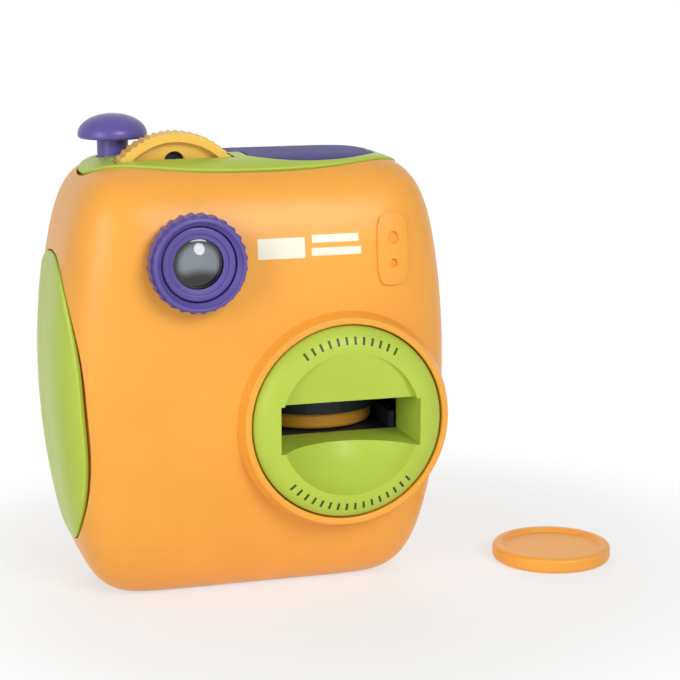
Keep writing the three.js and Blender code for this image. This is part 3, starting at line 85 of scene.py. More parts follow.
class Axis(Enum):
    """A row axis, with the two directions across it."""

    X = 0
    Y = 1
    Z = 2

    def place(self, across: float, up: float, along: float) -> Point:
        """Put a point that is given across, up and along this axis into the row frame.

        Args:
            across: first direction across the axis (Y for X, X for Y and Z).
            up: second direction across the axis (Z for X and Y, Y for Z).
            along: distance along the axis.

        Returns:
            The point as x, y and z.
        """
        if self is Axis.X:
            return along, across, up
        if self is Axis.Y:
            return across, along, up
        return across, up, along


class Cut(Enum):
    """How a tool changes the piece it is used on."""

    AWAY = "DIFFERENCE"
    JOIN = "UNION"
    KEEP = "INTERSECT"


@dataclass(frozen=True)
class Outline:
    """A super-ellipse round a middle; a high power makes it a box with round corners."""

    half_across: float
    half_up: float
    power: float = 2.0
    across: float = 0.0
    up: float = 0.0

    def radius(self, cos: float, sin: float) -> float:
        """Distance from the middle to the edge in one direction."""
        sides = abs(cos / self.half_across) ** self.power + abs(sin / self.half_up) ** self.power
        return sides ** (-1 / self.power)

    def grown(self, by: float) -> "Outline":
        """The same outline with its edge moved out."""
        return replace(self, half_across=self.half_across + by, half_up=self.half_up + by)


def bend(radius: float, height: float, size: float, start: float, stop: float, steps: int = 6) -> Profile:
    """Points of a round corner in a turned profile.

    Args:
        radius: distance of the corner's middle from the axis.
        height: height of the corner's middle along the axis.
        size: radius of the corner itself.
        start: first angle, in degrees.
        stop: last angle, in degrees.
        steps: number of straight steps.

    Returns:
        The corner's points as radius and height.
    """
    angles = [math.radians(start + (stop - start) * i / steps) for i in range(steps + 1)]
    return [(radius + size * math.cos(a), height + size * math.sin(a)) for a in angles]


class Bench:
    """Modelling steps, each on one piece at a time."""

    @staticmethod
    def take(piece: Piece) -> None:
        """Make one piece the only selected and the active one."""
        bpy.ops.object.select_all(action="DESELECT")
        piece.select_set(True)
        bpy.context.view_layer.objects.active = piece

    @staticmethod
    def start(add: Callable[..., object], **settings: object) -> Piece:
        """Add a primitive with nothing else selected.

        Args:
            add: the operator that adds it.
            settings: the operator's settings.

        Returns:
            The new piece.
        """
        bpy.ops.object.select_all(action="DESELECT")
        add(**settings)
        return bpy.context.object

    @staticmethod
    def settle(piece: Piece) -> Piece:
        """Put a piece's place, turn and scale into its mesh."""
        Bench.take(piece)
        bpy.ops.object.transform_apply(location=True, rotation=True, scale=True)
        return piece

    @staticmethod
    def edit(piece: Piece, *steps: Callable[[], object]) -> None:
        """Run edit-mode steps on all of a piece.

        Args:
            piece: the piece to work on.
            steps: calls without arguments, made in order with everything selected.
        """
        Bench.take(piece)
        bpy.ops.object.mode_set(mode="EDIT")
        bpy.ops.mesh.select_all(action="SELECT")
        for step in steps:
            step()
        bpy.ops.object.mode_set(mode="OBJECT")

    @staticmethod
    def tidy(piece: Piece) -> None:
        """Merge doubled points and turn all faces outwards."""
        Bench.edit(
            piece,
            lambda: bpy.ops.mesh.remove_doubles(threshold=TOUCH),
            lambda: bpy.ops.mesh.normals_make_consistent(inside=False),
        )

    @staticmethod
    def sweep(piece: Piece) -> None:
        """Clear away slivers that cuts leave."""
        Bench.edit(
            piece,
            lambda: bpy.ops.mesh.remove_doubles(threshold=SPECK),
            lambda: bpy.ops.mesh.dissolve_degenerate(threshold=SPECK),
        )

    @staticmethod
    def reshape(piece: Piece, rule: Callable[[Vector], Sequence[float]]) -> Piece:
        """Move every point of a piece by a rule.

        Args:
            piece: the piece to change.
            rule: gives a point's new place from its old one.

        Returns:
            The same piece.
        """
        for vertex in piece.data.vertices:
            vertex.co = rule(vertex.co)
        piece.data.update()
        return piece

    @staticmethod
    def block(low: Point, high: Point) -> Piece:
        """A box between two corners."""
        middle = [(a + b) / 2 for a, b in zip(low, high)]
        piece = Bench.start(bpy.ops.mesh.primitive_cube_add, size=1, location=middle)
        piece.scale = [b - a for a, b in zip(low, high)]
        return Bench.settle(piece)

    @staticmethod
    def ball(middle: Point, radius: float) -> Piece:
        """A fine ball."""
        add = bpy.ops.mesh.primitive_uv_sphere_add
        return Bench.settle(Bench.start(add, segments=128, ring_count=64, radius=radius, location=middle))

    @staticmethod
    def column(
        reach: Callable[[float, float], float], axis: Axis, middle: Span, span: Span, sides: int
    ) -> Piece:
        """A straight solid with any outline.

        Args:
            reach: gives the outline's distance from its middle by a direction's cosine and sine.
            axis: the axis that the solid runs along.
            middle: place of the outline's middle across the axis.
            span: where the solid starts and ends on the axis.
            sides: number of points round the outline.

        Returns:
            The closed solid.
        """
        piece = Bench.start(bpy.ops.mesh.primitive_cylinder_add, vertices=sides, radius=1, depth=2)

        def rule(point: Vector) -> Point:
            """Move a point of the plain cylinder to the solid's outline."""
            far = reach(point.x, point.y)
            along = span[1] if point.z > 0 else span[0]
            return axis.place(middle[0] + far * point.x, middle[1] + far * point.y, along)

        Bench.tidy(Bench.reshape(piece, rule))
        return piece

    @staticmethod
    def prism(outline: Outline, axis: Axis, span: Span, sides: int = 128) -> Piece:
        """A straight solid with an outline, along an axis from the span's start to its end."""
        return Bench.column(outline.radius, axis, (outline.across, outline.up), span, sides)

    @staticmethod
    def rod(radius: float, axis: Axis, middle: Span, span: Span, sides: int = 128) -> Piece:
        """A round rod along an axis from the span's start to its end."""
        return Bench.prism(Outline(radius, radius, 2.0, *middle), axis, span, sides)

    @staticmethod
    def turned(profile: Profile, axis: Axis, across: float, up: float, steps: int = 128) -> Piece:
        """A turned solid: a chain of points drawn out of one point, then spun round an axis.

        Args:
            profile: points as radius and height; it starts and ends on the axis or closes on itself.
            axis: the axis that it is turned about.
            across: place of the axis in its first cross direction.
            up: place of the axis in its second cross direction.
            steps: number of steps round the axis.

        Returns:
            The closed solid.
        """
        points = [Vector(axis.place(across + r, up, h)) for r, h in profile]
        piece = Bench.start(bpy.ops.mesh.primitive_plane_add, size=1, location=(0, 0, 0))

        def draw() -> None:
            """Draw the chain of points out of the first one."""
            for start, stop in zip(points, points[1:]):
                bpy.ops.mesh.extrude_vertices_move(TRANSFORM_OT_translate={"value": stop - start})

        Bench.edit(
            piece,
            lambda: bpy.ops.mesh.merge(type="CENTER"),
            lambda: bpy.ops.transform.translate(value=points[0]),
            draw,
            lambda: bpy.ops.mesh.select_all(action="SELECT"),
            lambda: bpy.ops.mesh.spin(
                steps=steps, angle=math.tau, center=axis.place(across, up, 0), axis=axis.place(0, 0, 1),
                use_auto_merge=True,
            ),
        )
        Bench.tidy(piece)
        return piece

    @staticmethod
    def apply(piece: Piece, kind: str, **settings: object) -> Piece:
        """Add a modifier with its settings and apply it."""
        Bench.take(piece)
        modifier = piece.modifiers.new(kind.title(), kind)
        for name, value in settings.items():
            setattr(modifier, name, value)
        bpy.ops.object.modifier_apply(modifier=modifier.name)
        return piece

    @staticmethod
    def cut(piece: Piece, how: Cut, *tools: Piece) -> Piece:
        """Join, cut or trim a piece with tools, which are used up.

        Args:
            piece: the closed piece to change.
            how: whether the tools are joined, cut away or kept in common.
            tools: closed solids.

        Returns:
            The same piece.
        """
        for tool in tools:
            Bench.apply(piece, "BOOLEAN", object=tool, operation=how.value, solver="MANIFOLD")
            bpy.data.objects.remove(tool)
        return piece

    @staticmethod
    def soften(piece: Piece, width: float, segments: int = 3, angle: float = 40.0) -> Piece:
        """Round the sharp edges of a piece."""
        return Bench.apply(
            piece, "BEVEL", width=width, segments=segments, limit_method="ANGLE",
            angle_limit=math.radians(angle), harden_normals=False, use_clamp_overlap=True,
        )

    @staticmethod
    def copy(piece: Piece, shift: Point) -> Piece:
        """Copy a piece, with a mesh of its own, to another place."""
        twin = piece.copy()
        twin.data = piece.data.copy()
        bpy.context.scene.collection.objects.link(twin)
        return Bench.reshape(twin, lambda point: point + Vector(shift))


class Wire:
    """An output socket of a node that can be used in Python expressions."""

    def __init__(self, nodes: "Nodes", socket: bpy.types.NodeSocket) -> None:
        """Wrap one output socket."""
        self.nodes = nodes
        self.socket = socket

    def _math(self, operation: str, first: "Wire | float", second: "Wire | float") -> "Wire":
        """Add one Math node."""
        return self.nodes.node("ShaderNodeMath", {"operation": operation}, {0: first, 1: second})

    def __add__(self, other: "Wire | float") -> "Wire":
        """Sum of two values."""
        return self._math("ADD", self, other)

    def __sub__(self, other: "Wire | float") -> "Wire":
        """Difference of two values."""
        return self._math("SUBTRACT", self, other)

    def __mul__(self, other: "Wire | float") -> "Wire":
        """Product of two values."""
        return self._math("MULTIPLY", self, other)

    def __truediv__(self, other: "Wire | float") -> "Wire":
        """Quotient of two values."""
        return self._math("DIVIDE", self, other)

    def __rsub__(self, other: float) -> "Wire":
        """A number less this value."""
        return self._math("SUBTRACT", other, self)

    def absolute(self) -> "Wire":
        """Size of the value without its sign."""
        return self._math("ABSOLUTE", self, 0.0)

    def least(self, other: "Wire | float") -> "Wire":
        """The smaller of two values."""
        return self._math("MINIMUM", self, other)

    def most(self, other: "Wire | float") -> "Wire":
        """The larger of two values."""
        return self._math("MAXIMUM", self, other)

    def angle(self, other: "Wire | float") -> "Wire":
        """Angle of a point that is this far up and the other value along, from -pi to pi."""
        return self._math("ARCTAN2", self, other)

    def fraction(self) -> "Wire":
        """What is left over whole numbers."""
        return self._math("FRACT", self, 0.0)

    def root(self) -> "Wire":
        """Square root of the value."""
        return self._math("SQRT", self, 0.0)

    def step(self, low: float, high: float) -> "Wire":
        """A smooth step from 0 at low to 1 at high."""
        inputs = {"Value": self, "From Min": low, "From Max": high}
        return self.nodes.node("ShaderNodeMapRange", {"interpolation_type": "SMOOTHSTEP"}, inputs)

    def inside(self, blur: float) -> "Wire":
        """A mask of where the value is over zero, with a soft edge."""
        return self.step(-blur, blur)


class Nodes:
    """Builder of the nodes of a material or of the backdrop."""

    def __init__(self, tree: bpy.types.NodeTree) -> None:
        """Work on one node tree."""
        self.tree = tree

    def node(self, kind: str, settings: dict, inputs: dict, output: int | str = 0) -> Wire:
        """Add a node.

        Args:
            kind: the node's type.
            settings: its properties, which are set first.
            inputs: values or wires by socket name or number.
            output: which output is wanted.

        Returns:
            The wanted output.
        """
        made = self.tree.nodes.new(kind)
        for name, value in settings.items():
            setattr(made, name, value)
        for name, value in inputs.items():
            self._feed(made.inputs[name], value)
        return Wire(self, made.outputs[output])

    def _feed(self, socket: bpy.types.NodeSocket, value: object) -> None:
        """Link a wire to a socket, or set its plain value."""
        if isinstance(value, Wire):
            self.tree.links.new(value.socket, socket)
        else:
            socket.default_value = value

    def seen(self) -> Wire:
        """A switch that is 1 for rays from the camera, also by way of metal or glass."""
        camera = self.node("ShaderNodeLightPath", {}, {}, "Is Camera Ray")
        outputs = camera.socket.node.outputs
        glossy, clear = (Wire(self, outputs[name]) for name in ("Is Glossy Ray", "Is Transmission Ray"))
        return camera.most(glossy).most(clear)

    def show(self, share: Wire, first: Wire, second: Wire, output: str) -> None:
        """Mix two shaders and link them to an output node.

        Args:
            share: share of the second shader.
            first: the first shader.
            second: the second shader.
            output: the output node's name.
        """
        mixed = self.node("ShaderNodeMixShader", {}, {0: share, 1: first, 2: second})
        self.tree.links.new(mixed.socket, self.tree.nodes[output].inputs["Surface"])


class Shade(Nodes):
    """Builder of one material's nodes."""

    def __init__(self, name: str) -> None:
        """Start a material with its surface shader."""
        self.material = bpy.data.materials.new(name)
        self.material.use_nodes = True
        super().__init__(self.material.node_tree)
        self.surface = self.tree.nodes["Principled BSDF"]

    def feed(self, **inputs: object) -> None:
        """Feed sockets of the surface shader, with underscores for spaces in their names."""
        for name, value in inputs.items():
            self._feed(self.surface.inputs[name.replace("_", " ")], value)

    def shader(self) -> Wire:
        """The surface shader's own output."""
        return Wire(self, self.surface.outputs[0])

    def place(self) -> Wire:
        """The point's place in the row frame."""
        return self.node("ShaderNodeTexCoord", {}, {}, "Object")

    def axes(self) -> tuple[Wire, Wire, Wire]:
        """The point's x, y and z in the row frame."""
        split = self.node("ShaderNodeSeparateXYZ", {}, {0: self.place()})
        return tuple(Wire(self, output) for output in split.socket.node.outputs)

    def noise(self, scale: float, detail: float = 2.0) -> Wire:
        """Noise with so many waves in a metre."""
        return self.node("ShaderNodeTexNoise", {}, {"Vector": self.place(), "Scale": scale, "Detail": detail})

    def blend(self, share: Wire | float, first: object, second: object) -> Wire:
        """Mix two colours."""
        return self.node("ShaderNodeMix", {"data_type": "RGBA"}, {0: share, 6: first, 7: second}, 2)

    def bump(self, height: Wire, strength: float, distance: float) -> Wire:
        """A normal that follows a height."""
        inputs = {"Height": height, "Strength": strength, "Distance": distance}
        return self.node("ShaderNodeBump", {}, inputs, "Normal")


def linear(red: int, green: int, blue: int) -> tuple[float, float, float, float]:
    """A colour of 0 to 255 a channel, as it looks on a screen, in the renderer's linear values."""
    def channel(value: int) -> float:
        """One channel's linear value."""
        share = value / 255
        return share / 12.92 if share <= 0.04045 else ((share + 0.055) / 1.055) ** 2.4

    return channel(red), channel(green), channel(blue), 1.0


@dataclass(frozen=True)
class Plastic:
    """Moulded plastic: faint clouding of the pigment, a fine grain from the mould, and uneven gloss."""

    name: str
    colour: Colour
    roughness: float = 0.38
    grain: float = 0.06
    soft: float = 0.0
    shine: float = 0.3
    clouding: float = 0.03
    cloud_scale: float = 38.0
    cloud_edge: Span = (0.32, 0.68)
    spread: float = 0.12
    gloss_scale: float = 140.0
    grain_scale: float = 2600.0
    grain_depth: float = 0.0002
    glow: Point = (0.004, 0.002, 0.001)
    index: float = 1.49

    def start(self) -> tuple[Shade, Wire]:
        """Make the material up to its base colour.

        Returns:
            The material's builder and the clouded pigment colour.
        """
        shade = Shade(self.name)
        base = linear(*self.colour)
        deep = tuple(c * (1 - self.clouding) for c in base[:3]) + (1.0,)
        pale = tuple(min(1.0, c * (1 + self.clouding)) for c in base[:3]) + (1.0,)
        clouds = shade.noise(self.cloud_scale, 3.0).step(*self.cloud_edge)
        return shade, shade.blend(clouds, deep, pale)

    def close(self, shade: Shade, pigment: Wire) -> bpy.types.Material:
        """Finish the material from its colour.

        Args:
            shade: the material's builder.
            pigment: the colour over the surface.

        Returns:
            The finished material.
        """
        gloss = shade.noise(self.gloss_scale)
        grain = shade.noise(self.grain_scale, 1.0)
        shade.feed(
            Base_Color=pigment,
            Roughness=gloss * self.spread + (self.roughness - self.spread / 2),
            Normal=shade.bump(grain, self.grain, self.grain_depth),
            Subsurface_Weight=self.soft,
            Subsurface_Radius=self.glow,
            Specular_IOR_Level=self.shine,
            IOR=self.index,
        )
        return shade.material

    def material(self) -> bpy.types.Material:
        """The whole material."""
        return self.close(*self.start())


@dataclass(frozen=True)
class Metal:
    """Plated metal with fine drawn lines."""

    name: str
    colour: Colour
    roughness: float = 0.28
    spread: float = 0.14
    tarnish: float = 0.7
    stain_scale: float = 220.0
    stain_edge: Span = (0.45, 0.75)
    line_scale: float = 4000.0
    line_strength: float = 0.05
    line_depth: float = 0.0001

    def material(self) -> bpy.types.Material:
        """The whole material."""
        shade = Shade(self.name)
        x, _, z = shade.axes()
        inputs = {"W": x + z, "Scale": self.line_scale}
        lines = shade.node("ShaderNodeTexNoise", {"noise_dimensions": "1D"}, inputs)
        stain = shade.noise(self.stain_scale, 3.0)
        base = linear(*self.colour)
        dull = tuple(c * self.tarnish for c in base[:3]) + (1.0,)
        shade.feed(
            Base_Color=shade.blend(stain.step(*self.stain_edge), base, dull),
            Roughness=lines * self.spread + (self.roughness - self.spread / 2),
            Metallic=1.0,
            Normal=shade.bump(lines, self.line_strength, self.line_depth),
        )
        return shade.material


@dataclass(frozen=True)
class Clear:
    """Clear moulded plastic of a lens."""

    name: str
    colour: Colour
    pale: tuple[float, float, float, float] = (0.9, 0.93, 0.95, 1.0)
    haze_scale: float = 300.0
    haze_edge: Span = (0.4, 0.8)
    roughness: float = 0.01
    spread: float = 0.03
    index: float = 1.49

    def material(self) -> bpy.types.Material:
        """The whole material."""
        shade = Shade(self.name)
        haze = shade.noise(self.haze_scale)
        shade.feed(
            Base_Color=shade.blend(haze.step(*self.haze_edge), linear(*self.colour), self.pale),
            Roughness=haze * self.spread + self.roughness,
            Transmission_Weight=1.0,
            IOR=self.index,
        )
        return shade.material


class Finish(Enum):
    """The finishes of the record's material slots."""

    ORANGE = Plastic("orange_plastic", (248, 172, 66), 0.36, 0.04, 0.05, 0.4)
    GREEN = Plastic("green_plastic", (186, 208, 78), 0.36, 0.04, 0.05, 0.22)
    PURPLE = Plastic("purple_plastic", (94, 80, 158), 0.32, 0.03, 0.0, 0.45)
    YELLOW = Plastic("yellow_plastic", (245, 197, 88), 0.36, 0.05, 0.05)
    BLACK = Plastic("black_plastic", (44, 46, 66), 0.42, 0.06)
    WHITE = Plastic("white_plastic", (230, 227, 218), 0.34, 0.04)
    STEEL = Metal("steel", (190, 192, 196))
    LENS = Clear("clear_lens", (226, 234, 240))


@dataclass(frozen=True)
class Bars:
    """Plain bars printed on the front, in metres: x and z of each middle, half width and half height."""

    bars: tuple[tuple[float, float, float, float], ...] = (
        (0.0034, 0.0938, 0.0062, 0.0026),
        (0.0177, 0.0959, 0.0062, 0.0010),
        (0.0179, 0.0926, 0.0066, 0.0010),
    )
    ink: Colour = (252, 244, 226)
    blur: float = 0.00006
    face: Span = (0.02, 0.021)

    def material(self) -> bpy.types.Material:
        """Orange plastic with the bars."""
        plastic = replace(Finish.ORANGE.value, name="printed_front")
        shade, pigment = plastic.start()
        x, y, z = shade.axes()
        printed: Wire | float = 0.0
        for across, up, half_width, half_height in self.bars:
            bar = (half_width - (x - across).absolute()).least(half_height - (z - up).absolute())
            printed = bar.inside(self.blur).most(printed)
        printed = printed * (0.0 - y).step(*self.face)
        return plastic.close(shade, shade.blend(printed, pigment, linear(*self.ink)))


@dataclass(frozen=True)
class Ticks:
    """Two arcs of plain ticks printed round the ejector, in metres and radians."""

    middle: Span = (EJECTOR[0] * METRES, EJECTOR[1] * METRES)
    band: Span = (0.0209, 0.0229)
    pitch: float = math.radians(6.0)
    width: float = 0.14
    top: float = math.radians(36.0)
    bottom: float = math.radians(48.0)
    face: Span = (0.03, 0.031)
    blur: Point = (0.02, 0.00005, 0.001)
    ink: Colour = (66, 76, 34)

    def material(self) -> bpy.types.Material:
        """Green plastic with the ticks."""
        plastic = replace(Finish.GREEN.value, name="printed_bezel")
        shade, pigment = plastic.start()
        x, y, z = shade.axes()
        across, up = x - self.middle[0], z - self.middle[1]
        radius = (across * across + up * up).root()
        turn = across.angle(up)
        tick = self.width - ((turn / self.pitch).fraction() - 0.5).absolute()
        ring = (radius - self.band[0]).least(self.band[1] - radius)
        arc = (self.top - turn.absolute()).most(turn.absolute() - (math.pi - self.bottom))
        printed = tick.inside(self.blur[0]) * ring.inside(self.blur[1]) * arc.inside(self.blur[2])
        printed = printed * (0.0 - y).step(*self.face)
        return plastic.close(shade, shade.blend(printed, pigment, linear(*self.ink)))


@dataclass(frozen=True)
class LensWithPaintedReflection:
    """The front lens, in metres: a painted grey reflection that fades to painted dark shade below and at the
    rim.
    """

    name: str = "lens_painted_reflection"
    middle: Span = (LENS[0] * METRES, LENS[1] * METRES)
    radius: float = 0.0064
    # Painted light: the grey is a painted reflection, the dark colour a painted shade.
    reflection_grey: Colour = (146, 156, 164)
    painted_shade_colour: Colour = (24, 26, 26)
    arch: float = 0.25
    unevenness: float = 0.15
    # Painted shade fades in below this line and towards the rim.
    shade_fade: Span = (-0.4, 0.05)
    rim: Span = (0.66, 0.96)
    haze_scale: float = 300.0
    roughness: float = 0.02
    spread: float = 0.03
    clearness: float = 0.3
    index: float = 1.6

    def material(self) -> bpy.types.Material:
        """The whole material."""
        shade = Shade(self.name)
        x, _, z = shade.axes()
        across, up = (x - self.middle[0]) / self.radius, (z - self.middle[1]) / self.radius
        from_middle = (across * across + up * up).root()
        haze = shade.noise(self.haze_scale)
        # Lower edge of the painted reflection, bowed and made uneven by the haze.
        shoulder = up + across * across * self.arch + haze * self.unevenness
        # Share of painted grey reflection; painted shade below it and at the rim.
        painted_reflection = shoulder.step(*self.shade_fade) * (1.0 - from_middle.step(*self.rim))
        shade.feed(
            Base_Color=shade.blend(painted_reflection, linear(*self.painted_shade_colour), linear(*self.reflection_grey)),
            Roughness=haze * self.spread + self.roughness,
            Transmission_Weight=self.clearness,
            IOR=self.index,
        )
        return shade.material


class Paintbox:
    """Finished materials, each made once."""

    def __init__(self) -> None:
        """Start with no materials."""
        self.made: dict[Finish, bpy.types.Material] = {}

    def get(self, finish: Finish) -> bpy.types.Material:
        """The material of a finish."""
        if finish not in self.made:
            self.made[finish] = finish.value.material()
        return self.made[finish]


@dataclass
class Pillow:
    """The pillow that the whole body follows: a box swollen into a super-ellipsoid, widest at its waist."""

    half: Point = (52.5, 31.5, 58.0)
    middle: float = 57.2
    outline_power: float = 9.3
    depth_power: float = 4.2
    waist: float = 60.0
    side_bow: float = 0.165
    rear_bow: float = 0.124
    front_bow: float = 0.284
    rounds: int = 20
    tool_proud: float = 20.0

    def away(self, z: float) -> float:
        """Square of the distance from the waist, as a share of the half height."""
        return ((z - self.waist) / self.half[2]) ** 2

    def width_share(self, z: float) -> float:
        """Share of the full width at a height."""
        return 1 - self.side_bow * self.away(z)

    def depth_share(self, side: float, z: float) -> float:
        """Share of the full depth at a height, behind or, for a negative side, in front."""
        if side < 0 and z > self.waist:
            return 1.0
        return 1 - (self.front_bow if side < 0 else self.rear_bow) * self.away(z)

    def reach(self, axis: Axis, side: int, across: float, up: float, offset: float = 0.0) -> float:
        """Where the surface is along one axis.

        Args:
            axis: the axis to look along.
            side: 1 on the axis's positive side of the pillow, -1 on the other; the top only for Z.
            across: place in the axis's first cross direction.
            up: place in its second cross direction.
            offset: how far the surface is grown.

        Returns:
            The surface's coordinate on the axis.
        """
        a, b, c = (size + offset for size in self.half)
        p, q = self.outline_power, self.depth_power
        if axis is Axis.Y:
            rim = abs(across / (a * self.width_share(up))) ** p + abs((up - self.middle) / c) ** p
            return side * b * self.depth_share(side, up) * max(0.0, 1 - rim ** (q / p)) ** (1 / q)
        if axis is Axis.X:
            left = max(0.0, 1 - abs(across / (b * self.depth_share(across, up))) ** q) ** (p / q)
            rim = max(0.0, left - abs((up - self.middle) / c) ** p)
            return side * a * self.width_share(up) * rim ** (1 / p)
        z = self.middle + c
        for _ in range(self.rounds):
            left = max(0.0, 1 - abs(up / (b * self.depth_share(up, z))) ** q) ** (p / q)
            z = self.middle + c * max(0.0, left - abs(across / (a * self.width_share(z))) ** p) ** (1 / p)
        return z

    def solid(self, offset: float, cuts: int) -> Piece:
        """The pillow as a closed solid.

        Args:
            offset: how far its surface is grown.
            cuts: number of cuts along each side of the box that it is swollen from.

        Returns:
            The solid.
        """
        piece = Bench.start(bpy.ops.mesh.primitive_cube_add, size=2)
        Bench.edit(piece, lambda: bpy.ops.mesh.subdivide(number_cuts=cuts))
        a, b, c = (size + offset for size in self.half)
        p, q = self.outline_power, self.depth_power

        def swell(point: Vector) -> Point:
            """Move a point of the box to the pillow."""
            rim = (abs(point.x) ** p + abs(point.z) ** p) ** (q / p)
            size = (rim + abs(point.y) ** q) ** (-1 / q)
            z = self.middle + c * size * point.z
            x, y = a * size * point.x * self.width_share(z), b * size * point.y * self.depth_share(point.y, z)
            return x, y, z

        return Bench.reshape(piece, swell)

    def inlay(
        self, outline: Outline, axis: Axis, side: int, offset: float, thickness: float, edge: float, cuts: int
    ) -> Piece:
        """A plate that follows the pillow's surface inside an outline.

        Args:
            outline: the plate's outline across the axis.
            axis: the axis that it is seen along.
            side: 1 on the axis's positive side of the pillow, -1 on the other.
            offset: how far the plate's face is from the pillow's surface.
            thickness: the plate's thickness.
            edge: radius of its rounded rim.
            cuts: number of cuts each way.

        Returns:
            The closed plate.
        """
        piece = Bench.start(bpy.ops.mesh.primitive_grid_add, x_subdivisions=cuts, y_subdivisions=cuts, size=2)

        def lay(point: Vector) -> Point:
            """Move a point of the grid to the pillow's surface."""
            share = max(abs(point.x), abs(point.y))
            across, up = point.x * outline.half_across, point.y * outline.half_up
            length = math.hypot(across, up)
            if length > 0:
                stretch = share * outline.radius(across / length, up / length) / length
                across, up = across * stretch, up * stretch
            across, up = across + outline.across, up + outline.up
            return axis.place(across, up, self.reach(axis, side, across, up, offset))

        Bench.reshape(piece, lay)
        if (axis is Axis.Y) != (side < 0):
            Bench.edit(piece, bpy.ops.mesh.flip_normals)
        Bench.apply(piece, "SOLIDIFY", thickness=thickness, offset=-1.0)
        return Bench.soften(piece, edge)

    def seat(self, outline: Outline, axis: Axis, side: int, depth: float) -> Piece:
        """A tool that cuts the recess for an inlay.

        Args:
            outline: outline of the recess.
            axis: the axis that it is seen along.
            side: 1 or -1, the side of the pillow.
            depth: how deep the recess is.

        Returns:
            The tool.
        """
        start = self.middle if axis is Axis.Z else 0.0
        reach = start + self.half[axis.value] + self.tool_proud
        span = (start, reach) if side > 0 else (-reach, -start)
        tool = Bench.prism(outline, axis, span, FINE)
        return Bench.cut(tool, Cut.AWAY, self.solid(-depth, TOOL_CUTS))


@dataclass
class Part:
    """What the sub-assemblies share: pillow, materials, common sizes and how a piece is handed over."""

    paint: Paintbox
    pillow: Pillow = field(default_factory=Pillow)
    shell_wall: float = 2.8
    ejector: Span = EJECTOR
    bezel_radius: float = 25.3
    lens: Span = LENS
    lens_bore: float = 9.1
    wheel: Point = (-19.4, -8.5, 103.0)
    button: Span = (-32.6, 5.5)
    launch: Span = (19.7, 0.5)
    door: Outline = Outline(11.5, 11.5, 7.0, -19.4, 91.7)
    switch_slot: Outline = Outline(5.3, 2.6, 6.0, -20.0, 66.0)
    screws: tuple[Span, ...] = ((-41.5, 18.0), (41.5, 18.0), (-43.0, 96.0), (43.0, 96.0))
    screw_head: float = 2.6
    screw_room: float = 2.1
    screw_hole: float = 1.6
    screw_depth: float = 5.0

    def rear_surface(self, x: float, z: float) -> float:
        """How far back the body's surface is at a place."""
        return self.pillow.reach(Axis.Y, 1, x, z)

    def screw_well(self, x: float, z: float, floor: float) -> tuple[Piece, Piece]:
        """Tools for a screw in the back.

        Args:
            x: place of the screw's axis.
            z: height of the screw's axis.
            floor: where the well for its head ends.

        Returns:
            The tools for the well and for the hole.
        """
        well = Bench.rod(self.screw_head + GAP, Axis.Y, (x, z), (floor, FAR), SMALL)
        return well, Bench.rod(self.screw_hole, Axis.Y, (x, z), (0.0, FAR), TINY)

    def hand_over(
        self, piece: Piece, name: str, body: str, finish: Finish, node: str, angle: float = 32.0,
        material: bpy.types.Material | None = None,
    ) -> None:
        """Bring a finished piece to metres, dress it and let it ride on its body.

        Args:
            piece: the finished piece, in millimetres.
            name: its name.
            body: the body that it moves with.
            finish: its finish.
            node: the node that it stands for.
            angle: edges sharper than this stay sharp.
            material: its own material, where it isn't the finish's plain one.
        """
        piece.name = name
        piece.data.name = name
        Bench.sweep(piece)
        piece.scale = (METRES, METRES, METRES)
        Bench.settle(piece)
        bpy.ops.object.shade_smooth_by_angle(angle=math.radians(angle))
        Bench.apply(piece, "WEIGHTED_NORMAL", keep_sharp=True, weight=50)
        piece.data.materials.clear()
        piece.data.materials.append(material or self.paint.get(finish))
        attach(piece, body)
        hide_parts(node)
        LOG.info("%s: %d faces on %s", name, len(piece.data.polygons), body)


